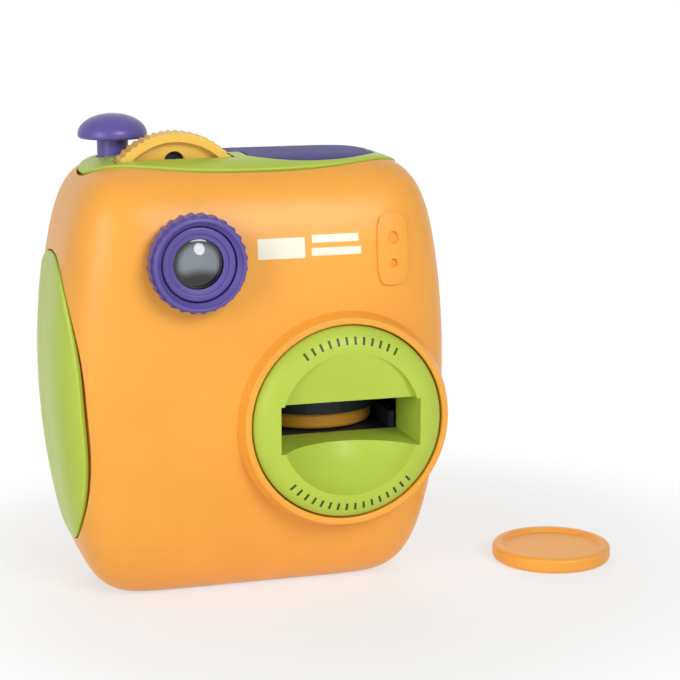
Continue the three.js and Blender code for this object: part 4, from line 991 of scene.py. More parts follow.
@dataclass
class Housing(Part):
    """Front and rear shells, top panel, left grip and the loading lid."""

    shell_cuts: int = 83
    hollow_cuts: int = 40
    seat_depth: float = 1.4
    parting: float = 12.0
    panel: Outline = Outline(42.5, 21.0, 2.6)
    panel_proud: float = 0.5
    panel_edge: float = 0.45
    grip: Outline = Outline(25.0, 38.2, 2.4, 0.0, 52.8)
    grip_proud: float = 0.65
    grip_edge: float = 0.7
    pad: Outline = Outline(4.35, 9.35, 3.6, 33.2, 92.4)
    pad_proud: float = 0.8
    pad_root: float = 1.0
    pad_edge: float = 0.55
    dimples: tuple[Span, ...] = ((3.0, 1.6), (-3.6, 1.15))
    dimple_depth: float = 1.2
    dimple_round: float = 0.4
    collar_width: float = 3.0
    collar_span: Span = (-35.1, -20.3)
    collar_land: float = 1.8
    collar_slope: float = 4.0
    collar_round: float = 0.5
    wheel_way: Span = (19.9, 4.1)
    stem_hole: float = 4.6
    stem_lip: float = 0.1
    mouth: float = 17.0
    top_tools: float = 90.0
    rear_tools: float = 15.0
    lid: Outline = Outline(20.0, 17.9, 2.3, 16.6, 0.5)
    lid_low: float = 60.0
    lid_edge: float = 0.4
    hinge: Span = (-1.8, 114.4)
    hinge_room: Span = (1.9, 0.6)
    knuckle: float = 1.3
    knuckle_span: Span = (-2.0, 8.0)
    knuckle_room: float = 0.9
    arm_drop: float = 0.9
    arm_reach: float = 1.2
    pin: float = 0.9
    lug: float = 3.6
    lug_back: float = 1.6
    lug_edge: float = 0.25
    notch: Point = (38.0, 0.5, 3.4)
    dish_drop: float = 1.0
    boss_radius: float = 4.2
    boss_inset: float = 1.7

    def wheel_slot(self) -> Piece:
        """Tool for the slot that the wheel stands in."""
        x, y, z = self.wheel
        radius, half = self.wheel_way
        return Bench.rod(radius, Axis.Y, (x, z), (y - half, y + half))

    def half_space(self, front: bool) -> Piece:
        """Tool that holds what lies in front of the parting line, or behind it."""
        if front:
            return Bench.block((-FAR, -FAR, -FAR), (FAR, self.parting - GAP / 2, FAR))
        return Bench.block((-FAR, self.parting + GAP / 2, -FAR), (FAR, FAR, FAR))

    def shell(self, front: bool) -> Piece:
        """One half of the hollow body, with the cuts that both halves share.

        Args:
            front: whether it is the front half.

        Returns:
            The shell.
        """
        piece = self.pillow.solid(0.0, self.shell_cuts)
        Bench.cut(piece, Cut.AWAY, self.pillow.solid(-self.shell_wall, self.hollow_cuts))
        Bench.cut(piece, Cut.KEEP, self.half_space(front))
        beside, beyond = self.hinge_room
        x, low, high = self.hinge[0], self.knuckle_span[0] - self.lug, self.knuckle_span[1] + self.lug
        return Bench.cut(
            piece,
            Cut.AWAY,
            self.pillow.seat(self.panel.grown(GAP), Axis.Z, 1, self.seat_depth),
            Bench.block((-FAR, -FAR, -FAR), (FAR, FAR, 0.0)),
            self.wheel_slot(),
            Bench.rod(self.stem_hole, Axis.Z, self.button, (self.top_tools, FAR)),
            Bench.rod(self.mouth, Axis.Z, self.launch, (self.top_tools, FAR)),
            Bench.block((x - beside, low - beyond, self.top_tools), (x + beside, high + beyond, FAR)),
            self.pillow.seat(self.grip.grown(GAP), Axis.X, -1, self.seat_depth),
        )

    def collar(self) -> Piece:
        """The raised ring round the ejector, with a narrow top and a sloping outer wall."""
        inner = self.bezel_radius + GAP
        outer = inner + self.collar_width
        top, back = self.collar_span
        size = self.collar_round
        profile = [(inner, back), (outer, back), (outer, top + self.collar_slope)]
        profile += bend(inner + self.collar_land - size, top + size, size, -20, -90, 6)
        profile += bend(inner + size, top + size, size, -90, -180, 5)
        profile += [(inner, back)]
        return Bench.turned(profile, Axis.Y, *self.ejector, FINE)

    def dimple(self, rise: float, radius: float) -> Piece:
        """Tool for a blind dimple of the pad, with a rounded floor.

        Args:
            rise: its height over the pad's middle.
            radius: its radius.

        Returns:
            The tool.
        """
        x, z = self.pad.across, self.pad.up + rise
        bottom = self.pillow.reach(Axis.Y, -1, x, z, self.pad_proud) + self.dimple_depth
        size = self.dimple_round
        floor = bend(radius - size, bottom - size, size, 0, 90, 4)
        profile = [(0.0, -FAR), (radius, -FAR), *floor, (0.0, bottom)]
        return Bench.turned(profile, Axis.Y, x, z, TINY)

    def front(self) -> None:
        """Build and dress the front shell with its collar and its pill-shaped pad."""
        piece = self.shell(front=True)
        hole = self.bezel_radius + GAP + PLAY
        Bench.cut(piece, Cut.AWAY, Bench.rod(hole, Axis.Y, self.ejector, (-FAR, 0.0), FINE))
        thickness = self.pad_proud + self.pad_root
        pad = self.pillow.inlay(self.pad, Axis.Y, -1, self.pad_proud, thickness, self.pad_edge, cuts=40)
        Bench.cut(pad, Cut.AWAY, *(self.dimple(rise, radius) for rise, radius in self.dimples))
        Bench.cut(piece, Cut.JOIN, self.collar(), pad)
        Bench.cut(piece, Cut.AWAY, Bench.rod(self.lens_bore, Axis.Y, self.lens, (-FAR, 0.0)))
        printed = Bars().material()
        self.hand_over(piece, "front_housing", "housing", Finish.ORANGE, "front_shell", material=printed)

    def rear(self) -> None:
        """Build and dress the rear shell with its screw wells, door recess and switch slot."""
        piece = self.shell(front=False)
        for x, z in self.screws:
            depth = self.rear_surface(x, z)
            boss = Bench.rod(self.boss_radius, Axis.Y, (x, z), (self.parting + GAP / 2, FAR))
            Bench.cut(boss, Cut.KEEP, self.pillow.solid(-self.boss_inset, TOOL_CUTS))
            Bench.cut(piece, Cut.JOIN, boss)
            Bench.cut(piece, Cut.AWAY, *self.screw_well(x, z, depth - self.screw_depth - self.screw_room))
        for outline in (self.door.grown(GAP), self.switch_slot):
            Bench.cut(piece, Cut.AWAY, Bench.prism(outline, Axis.Y, (self.rear_tools, FAR)))
        self.hand_over(piece, "rear_housing", "housing", Finish.ORANGE, "rear_shell")

    def lid_hole(self, grow: float) -> Piece:
        """Room for the lid: an oval with a straight hinge side."""
        piece = Bench.prism(self.lid.grown(grow), Axis.Z, (self.lid_low, FAR), FINE)
        straight = self.hinge[0] + self.knuckle + 2 * (GAP - grow)
        return Bench.cut(piece, Cut.AWAY, Bench.block((-FAR, -FAR, -FAR), (straight, FAR, FAR)))

    def bay(self) -> Piece:
        """Room for the hinge's knuckle."""
        x, low, high = self.hinge[0], *self.knuckle_span
        start = (x - self.knuckle - GAP, low - GAP, self.top_tools)
        return Bench.block(start, (x + self.knuckle + self.knuckle_room, high + GAP, FAR))

    def hinge_rod(self, radius: float, span: Span) -> Piece:
        """A rod on the hinge's line."""
        return Bench.rod(radius, Axis.Y, self.hinge, span, TINY)

    def plate(self, outline: Outline, axis: Axis, side: int, proud: float, edge: float, cuts: int) -> Piece:
        """A plate that lies in its seat in the body.

        Args:
            outline: its outline across the axis.
            axis: the axis that it is seen along.
            side: 1 on the axis's positive side of the body, -1 on the other.
            proud: how far it stands out of the body.
            edge: radius of its rounded rim.
            cuts: number of cuts each way.

        Returns:
            The closed plate.
        """
        return self.pillow.inlay(outline, axis, side, proud, proud + self.seat_depth - GAP, edge, cuts)

    def top(self) -> None:
        """Build and dress the green top panel with its slots, hinge lugs and thumb dish."""
        piece = self.plate(self.panel, Axis.Z, 1, self.panel_proud, self.panel_edge, cuts=72)
        Bench.cut(piece, Cut.AWAY, self.lid_hole(GAP), self.bay())
        low, high = self.knuckle_span
        x, z = self.hinge
        for start in (low - GAP - self.lug, high + GAP):
            near = (x - self.lug_back, start, z - self.knuckle)
            lug = Bench.block(near, (x + self.knuckle, start + self.lug, z + self.panel_proud))
            Bench.cut(piece, Cut.JOIN, Bench.soften(lug, self.lug_edge, segments=2))
        across, up, dish = self.notch
        ball = (dish**2 + self.dish_drop**2) / (2 * self.dish_drop)
        surface = self.pillow.reach(Axis.Z, 1, across, up) + self.panel_proud
        Bench.cut(
            piece,
            Cut.AWAY,
            self.wheel_slot(),
            Bench.rod(self.stem_hole - self.stem_lip, Axis.Z, self.button, (self.top_tools, FAR)),
            self.hinge_rod(self.pin, (low - self.lug - GAP, high + self.lug + GAP)),
            Bench.ball((across, up, surface + ball - self.dish_drop), ball),
        )
        self.hand_over(piece, "top_cover", "housing", Finish.GREEN, "top_panel")

    def side_grip(self) -> None:
        """Build and dress the grip on the left side."""
        piece = self.plate(self.grip, Axis.X, -1, self.grip_proud, self.grip_edge, cuts=72)
        self.hand_over(piece, "grip_left", "housing", Finish.GREEN, "left_grip")

    def hatch(self) -> None:
        """Build and dress the loading lid with its hinge knuckle."""
        piece = self.plate(self.lid, Axis.Z, 1, self.panel_proud, self.lid_edge, cuts=64)
        across, up, radius = self.notch
        Bench.cut(piece, Cut.KEEP, self.lid_hole(0.0))
        Bench.cut(piece, Cut.AWAY, Bench.rod(radius, Axis.Z, (across, up), (self.lid_low, FAR)))
        low, high = self.knuckle_span
        x, z = self.hinge
        end = (x + self.knuckle + self.arm_reach, high, z + self.knuckle)
        arm = Bench.block((x, low, z - self.arm_drop), end)
        Bench.cut(piece, Cut.JOIN, arm, self.hinge_rod(self.knuckle, (low, high)))
        Bench.cut(piece, Cut.AWAY, self.hinge_rod(self.pin, (low - GAP, high + GAP)))
        matt = Plastic("matt_purple", (80, 74, 134), 0.55, 0.03, 0.0, 0.12).material()
        self.hand_over(piece, "loading_hatch", "lid", Finish.PURPLE, "loading_lid", material=matt)

    def build(self) -> None:
        """Build and dress all of the housing."""
        self.front()
        self.rear()
        self.top()
        self.side_grip()
        self.hatch()


@dataclass
class Launcher(Part):
    """Ejector bezel, discs, the launch button and its return spring."""

    face_radius: float = 18.7
    edge: float = -33.7
    dome: float = 4.3
    dome_steps: int = 12
    wall: float = 2.2
    rim: float = 7.0
    slot: Span = (41.9, 54.3)
    tunnel_end: float = -18.0
    scoop: float = 11.0
    pocket: float = 2.5
    keen: float = 24.0
    disc_radius: float = 16.5
    disc_thickness: float = 4.2
    disc_rim: float = 2.6
    disc_dish: float = 1.0
    disc_round: float = 1.2
    disc_lip: Span = (0.3, 0.4)
    disc_cove: Span = (1.1, 0.5)
    stack: Point = (42.2, 46.7, 51.2)
    on_table: Point = (86.0, -14.0, 0.0)
    cap_radius: float = 9.1
    cap_top: float = 126.0
    cap_height: float = 6.4
    cap_brim: float = 1.0
    cap_round: float = 0.8
    cap_steps: int = 15
    stem_radius: float = 4.1
    stem_length: float = 15.0
    stem_edge: float = 0.3
    stem_cove: float = 0.6
    cove_drop: float = 0.1
    socket: Span = (2.9, 9.0)
    press: float = 3.6
    wire: float = 0.55
    wire_sides: int = 12
    curls: int = 6
    curl_steps: int = 32

    def bow(self, inset: float) -> Profile:
        """The bezel's domed shoulder, from its face to its edge."""
        run = self.bezel_radius - self.face_radius - inset
        points = []
        for i in range(self.dome_steps + 1):
            angle = math.radians(90 * i / self.dome_steps)
            height = self.edge + inset - self.dome * math.cos(angle)
            points.append((self.face_radius + run * math.sin(angle), height))
        return points

    def face_rod(self) -> Piece:
        """A long rod as wide as the bezel's flat face."""
        return Bench.rod(self.face_radius, Axis.Y, self.ejector, (-FAR, FAR), FINE)

    def mouth(self) -> None:
        """Build and dress the ejector bezel: domed ring, slot with its tunnel, slope and thumb scoop."""
        x, z = self.ejector
        low, high = self.slot
        face, back = self.edge - self.dome, self.edge + self.rim
        radius, half, wall = self.bezel_radius, self.face_radius, self.wall
        profile = [(0.0, face), *self.bow(0.0), (radius, back), (radius - wall, back)]
        profile += [*reversed(self.bow(wall)), (0.0, face + wall)]
        piece = Bench.turned(profile, Axis.Y, x, z, FINE)
        reach = half + wall
        walls = Bench.block((x - reach, face, low - wall), (x + reach, self.tunnel_end, high + wall))
        inside = Bench.rod(radius - wall / 2, Axis.Y, self.ejector, (face + wall / 2, FAR), FINE)
        Bench.cut(walls, Cut.KEEP, inside)
        ball = (half**2 + self.scoop**2) / (2 * self.scoop)
        middle = (x, face + self.scoop - ball, z)
        bowl = Bench.ball(middle, ball + wall)
        Bench.cut(bowl, Cut.KEEP, Bench.block((-FAR, face, -FAR), (FAR, FAR, low)), self.face_rod())
        Bench.cut(piece, Cut.JOIN, walls, bowl, self.slope(face, self.pocket + wall, wall, high))
        scoop = Bench.ball(middle, ball)
        Bench.cut(scoop, Cut.KEEP, Bench.block((-FAR, -FAR, -FAR), (FAR, FAR, low + PLAY)))
        tunnel = Bench.block((x - half, -FAR, low), (x + half, FAR, high))
        Bench.cut(piece, Cut.AWAY, tunnel, scoop, self.slope(face - GAP, self.pocket + GAP, GAP, high - GAP))
        printed = Ticks().material()
        self.hand_over(piece, "ejector_mouth", "housing", Finish.GREEN, "ejector_bezel", self.keen, printed)

    def slope(self, start: float, deep: float, shallow: float, floor: float) -> Piece:
        """The wedge above the slot that leans back towards it.

        Args:
            start: front of the wedge.
            deep: its depth at the slot.
            shallow: its depth at the top.
            floor: height of its lower end.

        Returns:
            The wedge, trimmed to the round of the bezel's face.
        """
        x, z = self.ejector
        top = z + self.face_radius
        piece = Bench.block((x - FAR, 0.0, 0.0), (x + FAR, 1.0, 1.0))

        def lean(point: Vector) -> Point:
            """Move a corner of the block to the wedge."""
            depth = shallow if point.z > 0.5 else deep
            return point.x, start + point.y * depth, top if point.z > 0.5 else floor

        return Bench.cut(Bench.reshape(piece, lean), Cut.KEEP, self.face_rod())

    def disc(self) -> Piece:
        """One flat disc with a rolled rim and a shallow dish, lying on its own middle."""
        height, size = self.disc_thickness, self.disc_round
        middle = self.disc_radius - size
        inner = self.disc_radius - self.disc_rim
        floor = height - self.disc_dish
        (lip_out, lip), (cove_in, cove) = self.disc_lip, self.disc_cove
        profile = [(0.0, 0.0), *bend(middle, size, size, -90, 0), *bend(middle, height - size, size, 0, 90)]
        profile += bend(inner + lip_out, height - lip, lip, 90, 170, 4)
        profile += bend(inner - cove_in, floor + cove, cove, -10, -90, 4)
        profile += [(0.0, floor)]
        return Bench.turned(profile, Axis.Z, 0.0, 0.0, SMOOTH)

    def discs(self) -> None:
        """Build and dress the discs: one loaded, two stacked and one lying on the table."""
        loaded, first, second = ((*self.launch, height) for height in self.stack)
        places = (
            ("disc_loaded", "loaded_disc", "flying_disc", loaded),
            ("disc_stacked_1", "stacked_disc_1", "housing", first),
            ("disc_stacked_2", "stacked_disc_2", "housing", second),
            ("disc_on_table", "table_disc", "loose_disc", self.on_table),
        )
        pattern = self.disc()
        for name, node, body, place in places:
            self.hand_over(Bench.copy(pattern, place), name, body, Finish.ORANGE, node)
        bpy.data.objects.remove(pattern)

    def cap(self) -> None:
        """Build and dress the mushroom button with its stem."""
        under = self.cap_top - self.cap_height
        foot = under - self.stem_length
        stem, edge, cove, drop = self.stem_radius, self.stem_edge, self.stem_cove, self.cove_drop
        hollow, depth = self.socket
        profile = [(0.0, foot + depth), (hollow, foot + depth), (hollow, foot), (stem - edge, foot)]
        profile += [(stem, foot + edge), (stem, under - 2 * drop)]
        profile += bend(stem + cove, under - drop, cove, 180, 90, 4)
        profile += bend(self.cap_radius - self.cap_round, under + self.cap_round, self.cap_round, -90, 0)
        rise = self.cap_height - self.cap_brim
        for i in range(1, self.cap_steps):
            angle = math.radians(90 / self.cap_steps * i)
            height = under + self.cap_brim + rise * math.sin(angle)
            profile.append((self.cap_radius * math.cos(angle), height))
        profile.append((0.0, self.cap_top))
        piece = Bench.turned(profile, Axis.Z, *self.button)
        self.hand_over(piece, "button_cap", "button", Finish.PURPLE, "launch_button")

    def spring(self) -> None:
        """Build and dress the button's return spring at its length at rest."""
        low, high = (Vector(corner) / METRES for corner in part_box("button_spring"))
        length = high.z - low.z
        x, y = (low.x + high.x) / 2, (low.y + high.y) / 2
        piece = Bench.start(
            bpy.ops.mesh.primitive_circle_add, vertices=self.wire_sides, radius=self.wire,
            location=((high.x - low.x) / 2 - self.wire, 0, 0), rotation=(math.pi / 2, 0, 0),
        )
        Bench.settle(piece)
        rise, steps = (length - 2 * self.wire) / self.curls, self.curl_steps
        Bench.apply(piece, "SCREW", screw_offset=rise, iterations=self.curls, steps=steps, render_steps=steps)
        Bench.edit(
            piece,
            lambda: bpy.ops.mesh.fill_holes(sides=0),
            lambda: bpy.ops.mesh.normals_make_consistent(inside=False),
        )
        Bench.reshape(piece, lambda point: point + Vector((x, y, low.z + self.wire)))
        self.hand_over(piece, "return_spring", "housing", Finish.STEEL, "button_spring")
        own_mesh(piece)

    def build(self) -> None:
        """Build and dress the launcher's outside and its return spring."""
        self.mouth()
        self.discs()
        self.cap()
        self.spring()


def saw_tooth(angle: float, teeth: int, crest: float = 0.35) -> float:
    """Height of a row of saw teeth, from 0 to 1, at an angle: a slow rise and a quick drop."""
    phase = (angle / math.tau * teeth) % 1.0
    return phase / crest if phase < crest else (1 - phase) / (1 - crest)


@dataclass
class Projector(Part):
    """Focus ring, lens cell, lens and the slide wheel."""

    points_per_tooth: int = 8
    tooth_edge: float = 0.25
    ring_radius: float = 12.7
    ring_tooth: float = 0.6
    ring_teeth: int = 28
    ring_length: float = 4.8
    ring_chamfer: float = 1.0
    standoff: float = 0.9
    lip_rise: float = 2.4
    lip_width: float = 1.0
    lip_round: float = 0.5
    lip_edge: float = 0.2
    lip_wall: float = 0.6
    flange: float = 9.4
    flange_rise: float = 0.4
    flange_thickness: float = 2.0
    flange_round: float = 0.5
    cell_lip: float = 0.4
    cell_radius: float = 7.5
    cell_length: float = 15.2
    cell_bevel: Span = (0.9, 0.7)
    step_out: float = 0.1
    step_round: float = 0.3
    lens_radius: float = 6.8
    lens_sunk: float = 1.0
    lens_thickness: float = 3.2
    lens_bulge: float = 1.6
    lens_steps: int = 16
    wheel_radius: float = 19.3
    wheel_half: float = 3.5
    wheel_rim: float = 2.6
    wheel_web: float = 1.1
    wheel_teeth: int = 64
    wheel_tooth: float = 0.55
    hub: float = 4.0
    axle_hole: float = 2.1
    window_circle: float = 11.3
    window_radius: float = 2.8
    windows: int = 8

    def toothed(self, radius: float, depth: float, teeth: int, middle: Span, span: Span) -> Piece:
        """A round prism along Y with saw teeth.

        Args:
            radius: radius over the teeth.
            depth: depth of the teeth.
            teeth: number of teeth.
            middle: place of its axis, as x and z.
            span: where it starts and ends along Y.

        Returns:
            The closed solid with eased edges.
        """
        def reach(cos: float, sin: float) -> float:
            """Distance from the axis to the teeth in one direction."""
            angle = math.atan2(sin, cos) % math.tau
            return radius - depth * (1 - saw_tooth(angle + HAIR, teeth))

        piece = Bench.column(reach, Axis.Y, middle, span, teeth * self.points_per_tooth)
        return Bench.soften(piece, self.tooth_edge, segments=2, angle=60.0)

    @property
    def ring_back(self) -> float:
        """Back of the focus ring, just in front of the wall."""
        return self.pillow.reach(Axis.Y, -1, *self.lens) - self.standoff

    @property
    def flange_front(self) -> float:
        """Face of the lens cell."""
        return self.ring_back - self.ring_length - self.flange_rise

    def ring(self) -> None:
        """Build and dress the knurled focus ring with its smooth lip and its bevel down to the lens."""
        back, bore, slant, face = self.ring_back, self.lens_bore, self.ring_chamfer, self.flange_front
        front = back - self.ring_length
        lip = front - self.lip_rise
        outer = self.ring_radius - self.ring_tooth - GAP
        inner = outer - self.lip_width
        counter = self.flange + GAP
        shoulder = face + self.flange_thickness + GAP
        size, edge = self.lip_round, self.lip_edge
        profile = [(bore, back), (outer - slant, back), (outer, back - slant)]
        profile += bend(outer - size, lip + size, size, 0, -90, 5)
        profile += bend(inner + edge, lip + edge, edge, -90, -180, 3)
        profile += [(inner, lip + self.lip_wall), (counter + edge, face - 2 * edge), (counter, face - edge)]
        profile += [(counter, shoulder), (bore, shoulder), (bore, back)]
        piece = Bench.turned(profile, Axis.Y, *self.lens, SMOOTH)
        span = (front, back - slant)
        band = self.toothed(self.ring_radius, self.ring_tooth, self.ring_teeth, self.lens, span)
        Bench.cut(band, Cut.AWAY, Bench.rod(outer - GAP, Axis.Y, self.lens, (-FAR, FAR), SMOOTH))
        Bench.cut(piece, Cut.JOIN, band)
        self.hand_over(piece, "focus_knob", "focus", Finish.PURPLE, "focus_ring")

    def cell(self) -> None:
        """Build and dress the ring that holds the lens."""
        front, flange, tube, size = self.flange_front, self.flange, self.cell_radius, self.flange_round
        stop = self.lens_radius - self.cell_lip
        seat = front + self.lens_sunk
        seat_radius, seat_back = self.lens_radius + GAP, seat + self.lens_thickness + GAP
        end, behind = front + self.cell_length, front + self.flange_thickness
        step, edge = (stop + flange) / 2 + self.step_out, self.step_round
        low, high = self.cell_bevel
        profile = [(stop, seat), (stop, front + low), (step - edge, front + high)]
        profile += bend(step, front + edge, edge, 180, 270, 4)
        profile += bend(flange - size, front + size, size, -90, 0, 5)
        profile += [(flange, behind), (tube, behind), (tube, end), (stop, end), (stop, seat_back)]
        profile += [(seat_radius, seat_back), (seat_radius, seat), (stop, seat)]
        piece = Bench.turned(profile, Axis.Y, *self.lens, SMOOTH)
        self.hand_over(piece, "lens_holder", "lens_carrier", Finish.PURPLE, "lens_cell")

    def glass(self) -> None:
        """Build and dress the bulging front lens."""
        radius = self.lens_radius
        seat = self.flange_front + self.lens_sunk
        face, back = seat + GAP, seat + self.lens_thickness
        stop = radius - self.cell_lip - GAP
        shares = [i / self.lens_steps for i in range(self.lens_steps + 1)]
        profile = [(stop * share, face - self.lens_bulge * (1 - share**2)) for share in shares]
        profile += [(radius, face), (radius, back), (0.0, back)]
        piece = Bench.turned(profile, Axis.Y, *self.lens)
        # The lens's colour is a painted reflection, with painted shade below and at the rim.
        painted_reflection = LensWithPaintedReflection().material()
        self.hand_over(piece, "front_lens", "lens_carrier", Finish.LENS, "projector_lens", material=painted_reflection)

    def picture_wheel(self) -> None:
        """Build and dress the slide wheel: milled rim, sunk web with windows, and hub."""
        x, y, z = self.wheel
        half, web, hub = self.wheel_half, self.wheel_web, self.hub
        span = (y - half, y + half)
        piece = self.toothed(self.wheel_radius, self.wheel_tooth, self.wheel_teeth, (x, z), span)
        inner = self.wheel_radius - self.wheel_rim
        for start, stop in ((span[0] - PLAY, y - web), (y + web, span[1] + PLAY)):
            ring = [(hub, start), (inner, start), (inner, stop), (hub, stop), (hub, start)]
            Bench.cut(piece, Cut.AWAY, Bench.turned(ring, Axis.Y, x, z, SMOOTH))
        for i in range(self.windows):
            angle = math.tau * i / self.windows + math.pi / 2
            middle = (x + self.window_circle * math.cos(angle), z + self.window_circle * math.sin(angle))
            Bench.cut(piece, Cut.AWAY, Bench.rod(self.window_radius, Axis.Y, middle, (-FAR, FAR), SMALL))
        Bench.cut(piece, Cut.AWAY, Bench.rod(self.axle_hole, Axis.Y, (x, z), (-FAR, FAR), SMALL))
        self.hand_over(piece, "picture_wheel", "wheel", Finish.YELLOW, "slide_wheel")

    def build(self) -> None:
        """Build and dress all of the projector that shows."""
        self.ring()
        self.cell()
        self.glass()
        self.picture_wheel()


@dataclass
class BackFittings(Part):
    """Battery door, power switch and screws."""

    door_thickness: float = 2.0
    door_edge: float = 0.35
    door_screw: Span = (-19.4, 100.3)
    door_screw_sunk: float = 0.4
    door_screw_length: float = 9.0
    door_pad: Span = (4.4, 24.2)
    door_pad_inset: float = 1.0
    knob_middle: Span = (-22.0, 66.0)
    knob: Span = (5.6, 4.2)
    knob_power: float = 8.0
    knob_proud: float = 1.4
    knob_edge: float = 0.25
    grooves: tuple[float, ...] = (-1.8, -0.6, 0.6, 1.8)
    groove: Span = (0.3, 0.5)
    flange_reach: float = 5.0
    flange_gap: float = 0.6
    flange_thickness: float = 1.2
    flange_edge: float = 0.2
    head_height: float = 1.8
    head_round: float = 0.6
    crown: float = 0.1
    shank: float = 1.3
    point: Span = (0.4, 1.5)
    cross: Point = (1.5, 0.3, 0.9)
    screw_end: float = 4.0

    @property
    def door_screw_head(self) -> float:
        """Top of the door's screw, a little under the surface."""
        return self.rear_surface(*self.door_screw) - self.door_screw_sunk

    def cell_door(self) -> None:
        """Build and dress the battery door with its screw well."""
        piece = self.pillow.inlay(self.door, Axis.Y, 1, 0.0, self.door_thickness, self.door_edge, cuts=40)
        radius, start = self.door_pad
        pad = Bench.rod(radius, Axis.Y, self.door_screw, (start, FAR), SMALL)
        Bench.cut(pad, Cut.KEEP, self.pillow.solid(-self.door_pad_inset, TOOL_CUTS))
        Bench.cut(piece, Cut.JOIN, pad)
        Bench.cut(piece, Cut.AWAY, *self.screw_well(*self.door_screw, self.door_screw_head - self.screw_room))
        self.hand_over(piece, "cell_door", "door", Finish.ORANGE, "battery_door")

    def slider(self) -> None:
        """Build and dress the switch's ribbed slider on its broad flange."""
        x, z = self.knob_middle
        width, height = self.knob
        top = self.rear_surface(self.switch_slot.across, z) + self.knob_proud
        half = width / 2 + self.flange_reach
        back = self.rear_surface(x - half, z) - self.shell_wall - self.flange_gap
        outline = Outline(width / 2, height / 2, self.knob_power, x, z)
        piece = Bench.prism(outline, Axis.Y, (back - GAP, top), sides=96)
        Bench.soften(piece, self.knob_edge, angle=50.0)
        wide, deep = self.groove
        for shift in self.grooves:
            middle = x + shift
            groove = Bench.block((middle - wide, top - deep, z - height), (middle + wide, FAR, z + height))
            Bench.cut(piece, Cut.AWAY, groove)
        start = (x - half, back - self.flange_thickness, z - height)
        flange = Bench.block(start, (x + half, back, z + height))
        Bench.cut(piece, Cut.JOIN, Bench.soften(flange, self.flange_edge, segments=2))
        self.hand_over(piece, "switch_slider", "switch", Finish.BLACK, "switch_knob")

    def screw(self, length: float, place: Point) -> Piece:
        """A cross-head screw along Y.

        Args:
            length: its length under the top of its head.
            place: where the top of its head is.

        Returns:
            The closed screw.
        """
        head, shank, size, under = self.screw_head, self.shank, self.head_round, -self.head_height
        tip, taper = self.point
        profile = [(0.0, -length), (tip, -length), (shank, taper - length), (shank, under), (head, under)]
        profile += [(head, -size - self.crown), *bend(head - size, -size, size, 0, 90, 4), (0.0, self.crown)]
        piece = Bench.turned(profile, Axis.Y, 0.0, 0.0, TINY)
        long, short, deep = self.cross
        for wide, tall in ((long, short), (short, long)):
            Bench.cut(piece, Cut.AWAY, Bench.block((-wide, -deep, -tall), (wide, deep, tall)))
        return Bench.reshape(piece, lambda point: point + Vector(place))

    def fasten(self) -> None:
        """Build and dress the four shell screws and the door's screw."""
        for i, (x, z) in enumerate(self.screws, 1):
            head = self.rear_surface(x, z) - self.screw_depth
            piece = self.screw(head - self.screw_end, (x, head, z))
            self.hand_over(piece, f"body_screw_{i}", "housing", Finish.STEEL, f"shell_screw_{i}")
        x, z = self.door_screw
        piece = self.screw(self.door_screw_length, (x, self.door_screw_head, z))
        self.hand_over(piece, "cell_door_screw", "door", Finish.STEEL, "door_screw")

    def build(self) -> None:
        """Build and dress what the back shows."""
        self.cell_door()
        self.slider()
        self.fasten()


@dataclass
class Inside:
    """The mechanism's own solids, which keep their shapes and get their finishes."""

    paint: Paintbox

    def dress(self) -> None:
        """Give each node the material of its slot."""
        finishes = {finish.value.name: finish for finish in Finish}
        for entry in frame["record"]["subparts"]:
            node = frame["nodes"][entry["node"]]
            node.data.materials.clear()
            node.data.materials.append(self.paint.get(finishes[entry["material_slot"]]))
        LOG.info("dressed %d nodes", len(frame["nodes"]))


@dataclass(frozen=True)
class Softbox:
    """A large soft lamp that faces the object."""

    name: str
    place: Point
    size: Span
    power: float
    glints: bool = True


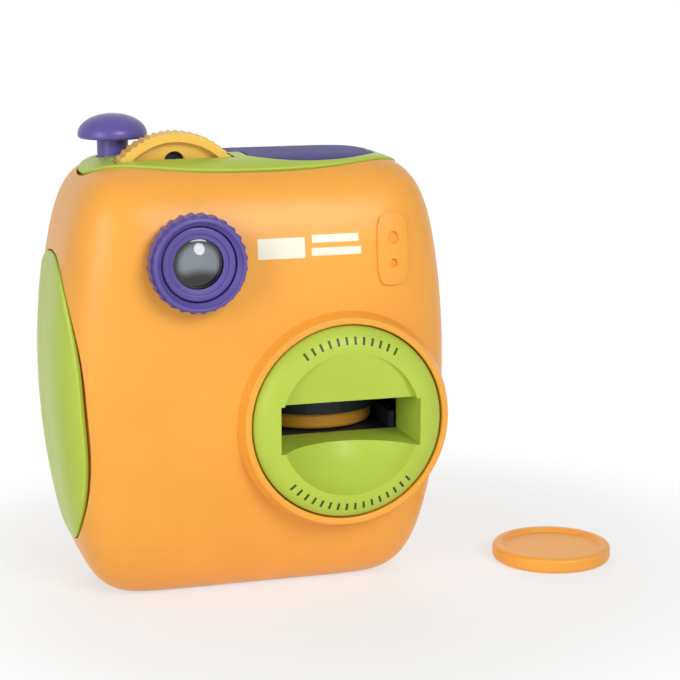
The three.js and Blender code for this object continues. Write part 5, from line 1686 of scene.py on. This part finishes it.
@dataclass
class Studio:
    """Camera, lamps, floor and backdrop."""

    azimuth: float = -17.0
    elevation: float = 11.35
    target: Point = (28.144, 0.0, 62.92)
    distance: float = 548.0
    focal_pixels: float = 2000.0
    frame_pixels: float = 680.0
    sensor: float = 36.0
    near: float = 0.01
    aim: Point = (0.0, 0.0, 0.055)
    plain_light: float = 0.22
    floor_size: float = 30.0
    floor_colour: tuple[float, float, float, float] = (0.95, 0.95, 0.95, 1.0)
    floor_roughness: float = 0.9
    floor_drop: float = 0.0002
    floor_middle: float = 0.03
    shadow_fade: Span = (0.002, 0.02)
    shadow_least: float = 0.6
    lamps: tuple[Softbox, ...] = (
        Softbox("key", (0.3, -1.2, 0.7), (0.6, 0.6), 9.3),
        Softbox("fill", (-1.0, -0.7, 0.35), (0.6, 0.9), 5.8),
        Softbox("overhead", (0.0, 0.1, 1.3), (1.2, 1.2), 0.6),
        Softbox("back", (0.2, 1.2, 0.45), (0.9, 0.9), 8.0, glints=False),
    )

    def camera(self) -> None:
        """Place the camera at the photograph's viewing angle."""
        turn, tilt = math.radians(self.azimuth), math.radians(self.elevation)
        back = Vector((math.sin(turn) * math.cos(tilt), -math.cos(turn) * math.cos(tilt), math.sin(tilt)))
        target = Vector(self.target) * METRES
        data = bpy.data.cameras.new("camera")
        data.sensor_width = self.sensor
        data.lens = self.focal_pixels / self.frame_pixels * self.sensor
        data.clip_start = self.near
        camera = bpy.data.objects.new("camera", data)
        camera.location = target + back * (self.distance * METRES)
        camera.rotation_euler = (-back).to_track_quat("-Z", "Y").to_euler()
        bpy.context.scene.collection.objects.link(camera)
        bpy.context.scene.camera = camera

    def light(self) -> None:
        """Hang the soft lamps."""
        for lamp in self.lamps:
            data = bpy.data.lights.new(lamp.name, "AREA")
            data.shape = "ELLIPSE"
            data.size, data.size_y = lamp.size
            data.energy = lamp.power
            item = bpy.data.objects.new(lamp.name, data)
            item.visible_glossy = lamp.glints
            item.location = lamp.place
            item.rotation_euler = (Vector(self.aim) - Vector(lamp.place)).to_track_quat("-Z", "Y").to_euler()
            bpy.context.scene.collection.objects.link(item)

    def world(self) -> None:
        """A white backdrop that lights the object at a plain level."""
        world = bpy.data.worlds.new("backdrop")
        world.use_nodes = True
        bpy.context.scene.world = world
        nodes = Nodes(world.node_tree)
        nodes.tree.nodes.remove(nodes.tree.nodes["Background"])
        plain, white = (
            nodes.node("ShaderNodeBackground", {}, {"Color": WHITE, "Strength": strength})
            for strength in (self.plain_light, 1.0)
        )
        nodes.show(nodes.seen(), plain, white, "World Output")

    def floor(self) -> None:
        """A plain pale floor that keeps the object's shadow."""
        add = bpy.ops.mesh.primitive_plane_add
        floor = Bench.start(add, size=self.floor_size, location=(0.0, 0.0, -self.floor_drop))
        floor.name = "floor"
        shade = Shade("pale_floor")
        shade.feed(Base_Color=self.floor_colour, Roughness=self.floor_roughness, Specular_IOR_Level=0.0)
        x, y, _ = shade.axes()
        across = x - self.floor_middle
        away = (across * across + y * y).step(*self.shadow_fade)
        far = away * (1.0 - self.shadow_least) + self.shadow_least
        white = shade.node("ShaderNodeEmission", {}, {"Color": WHITE, "Strength": 1.0})
        shade.show(far * shade.seen(), shade.shader(), white, "Material Output")
        floor.data.materials.append(shade.material)

    def build(self) -> None:
        """Set up all of the studio."""
        self.camera()
        self.light()
        self.world()
        self.floor()
        bpy.context.scene.view_settings.view_transform = "Standard"


def main() -> None:
    """Build the studio and the object."""
    logging.basicConfig(level=logging.INFO, format="%(name)s: %(message)s")
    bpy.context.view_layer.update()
    paint = Paintbox()
    Studio().build()
    Inside(paint).dress()
    Housing(paint).build()
    Launcher(paint).build()
    Projector(paint).build()
    BackFittings(paint).build()


if __name__ == "__main__":
    main()
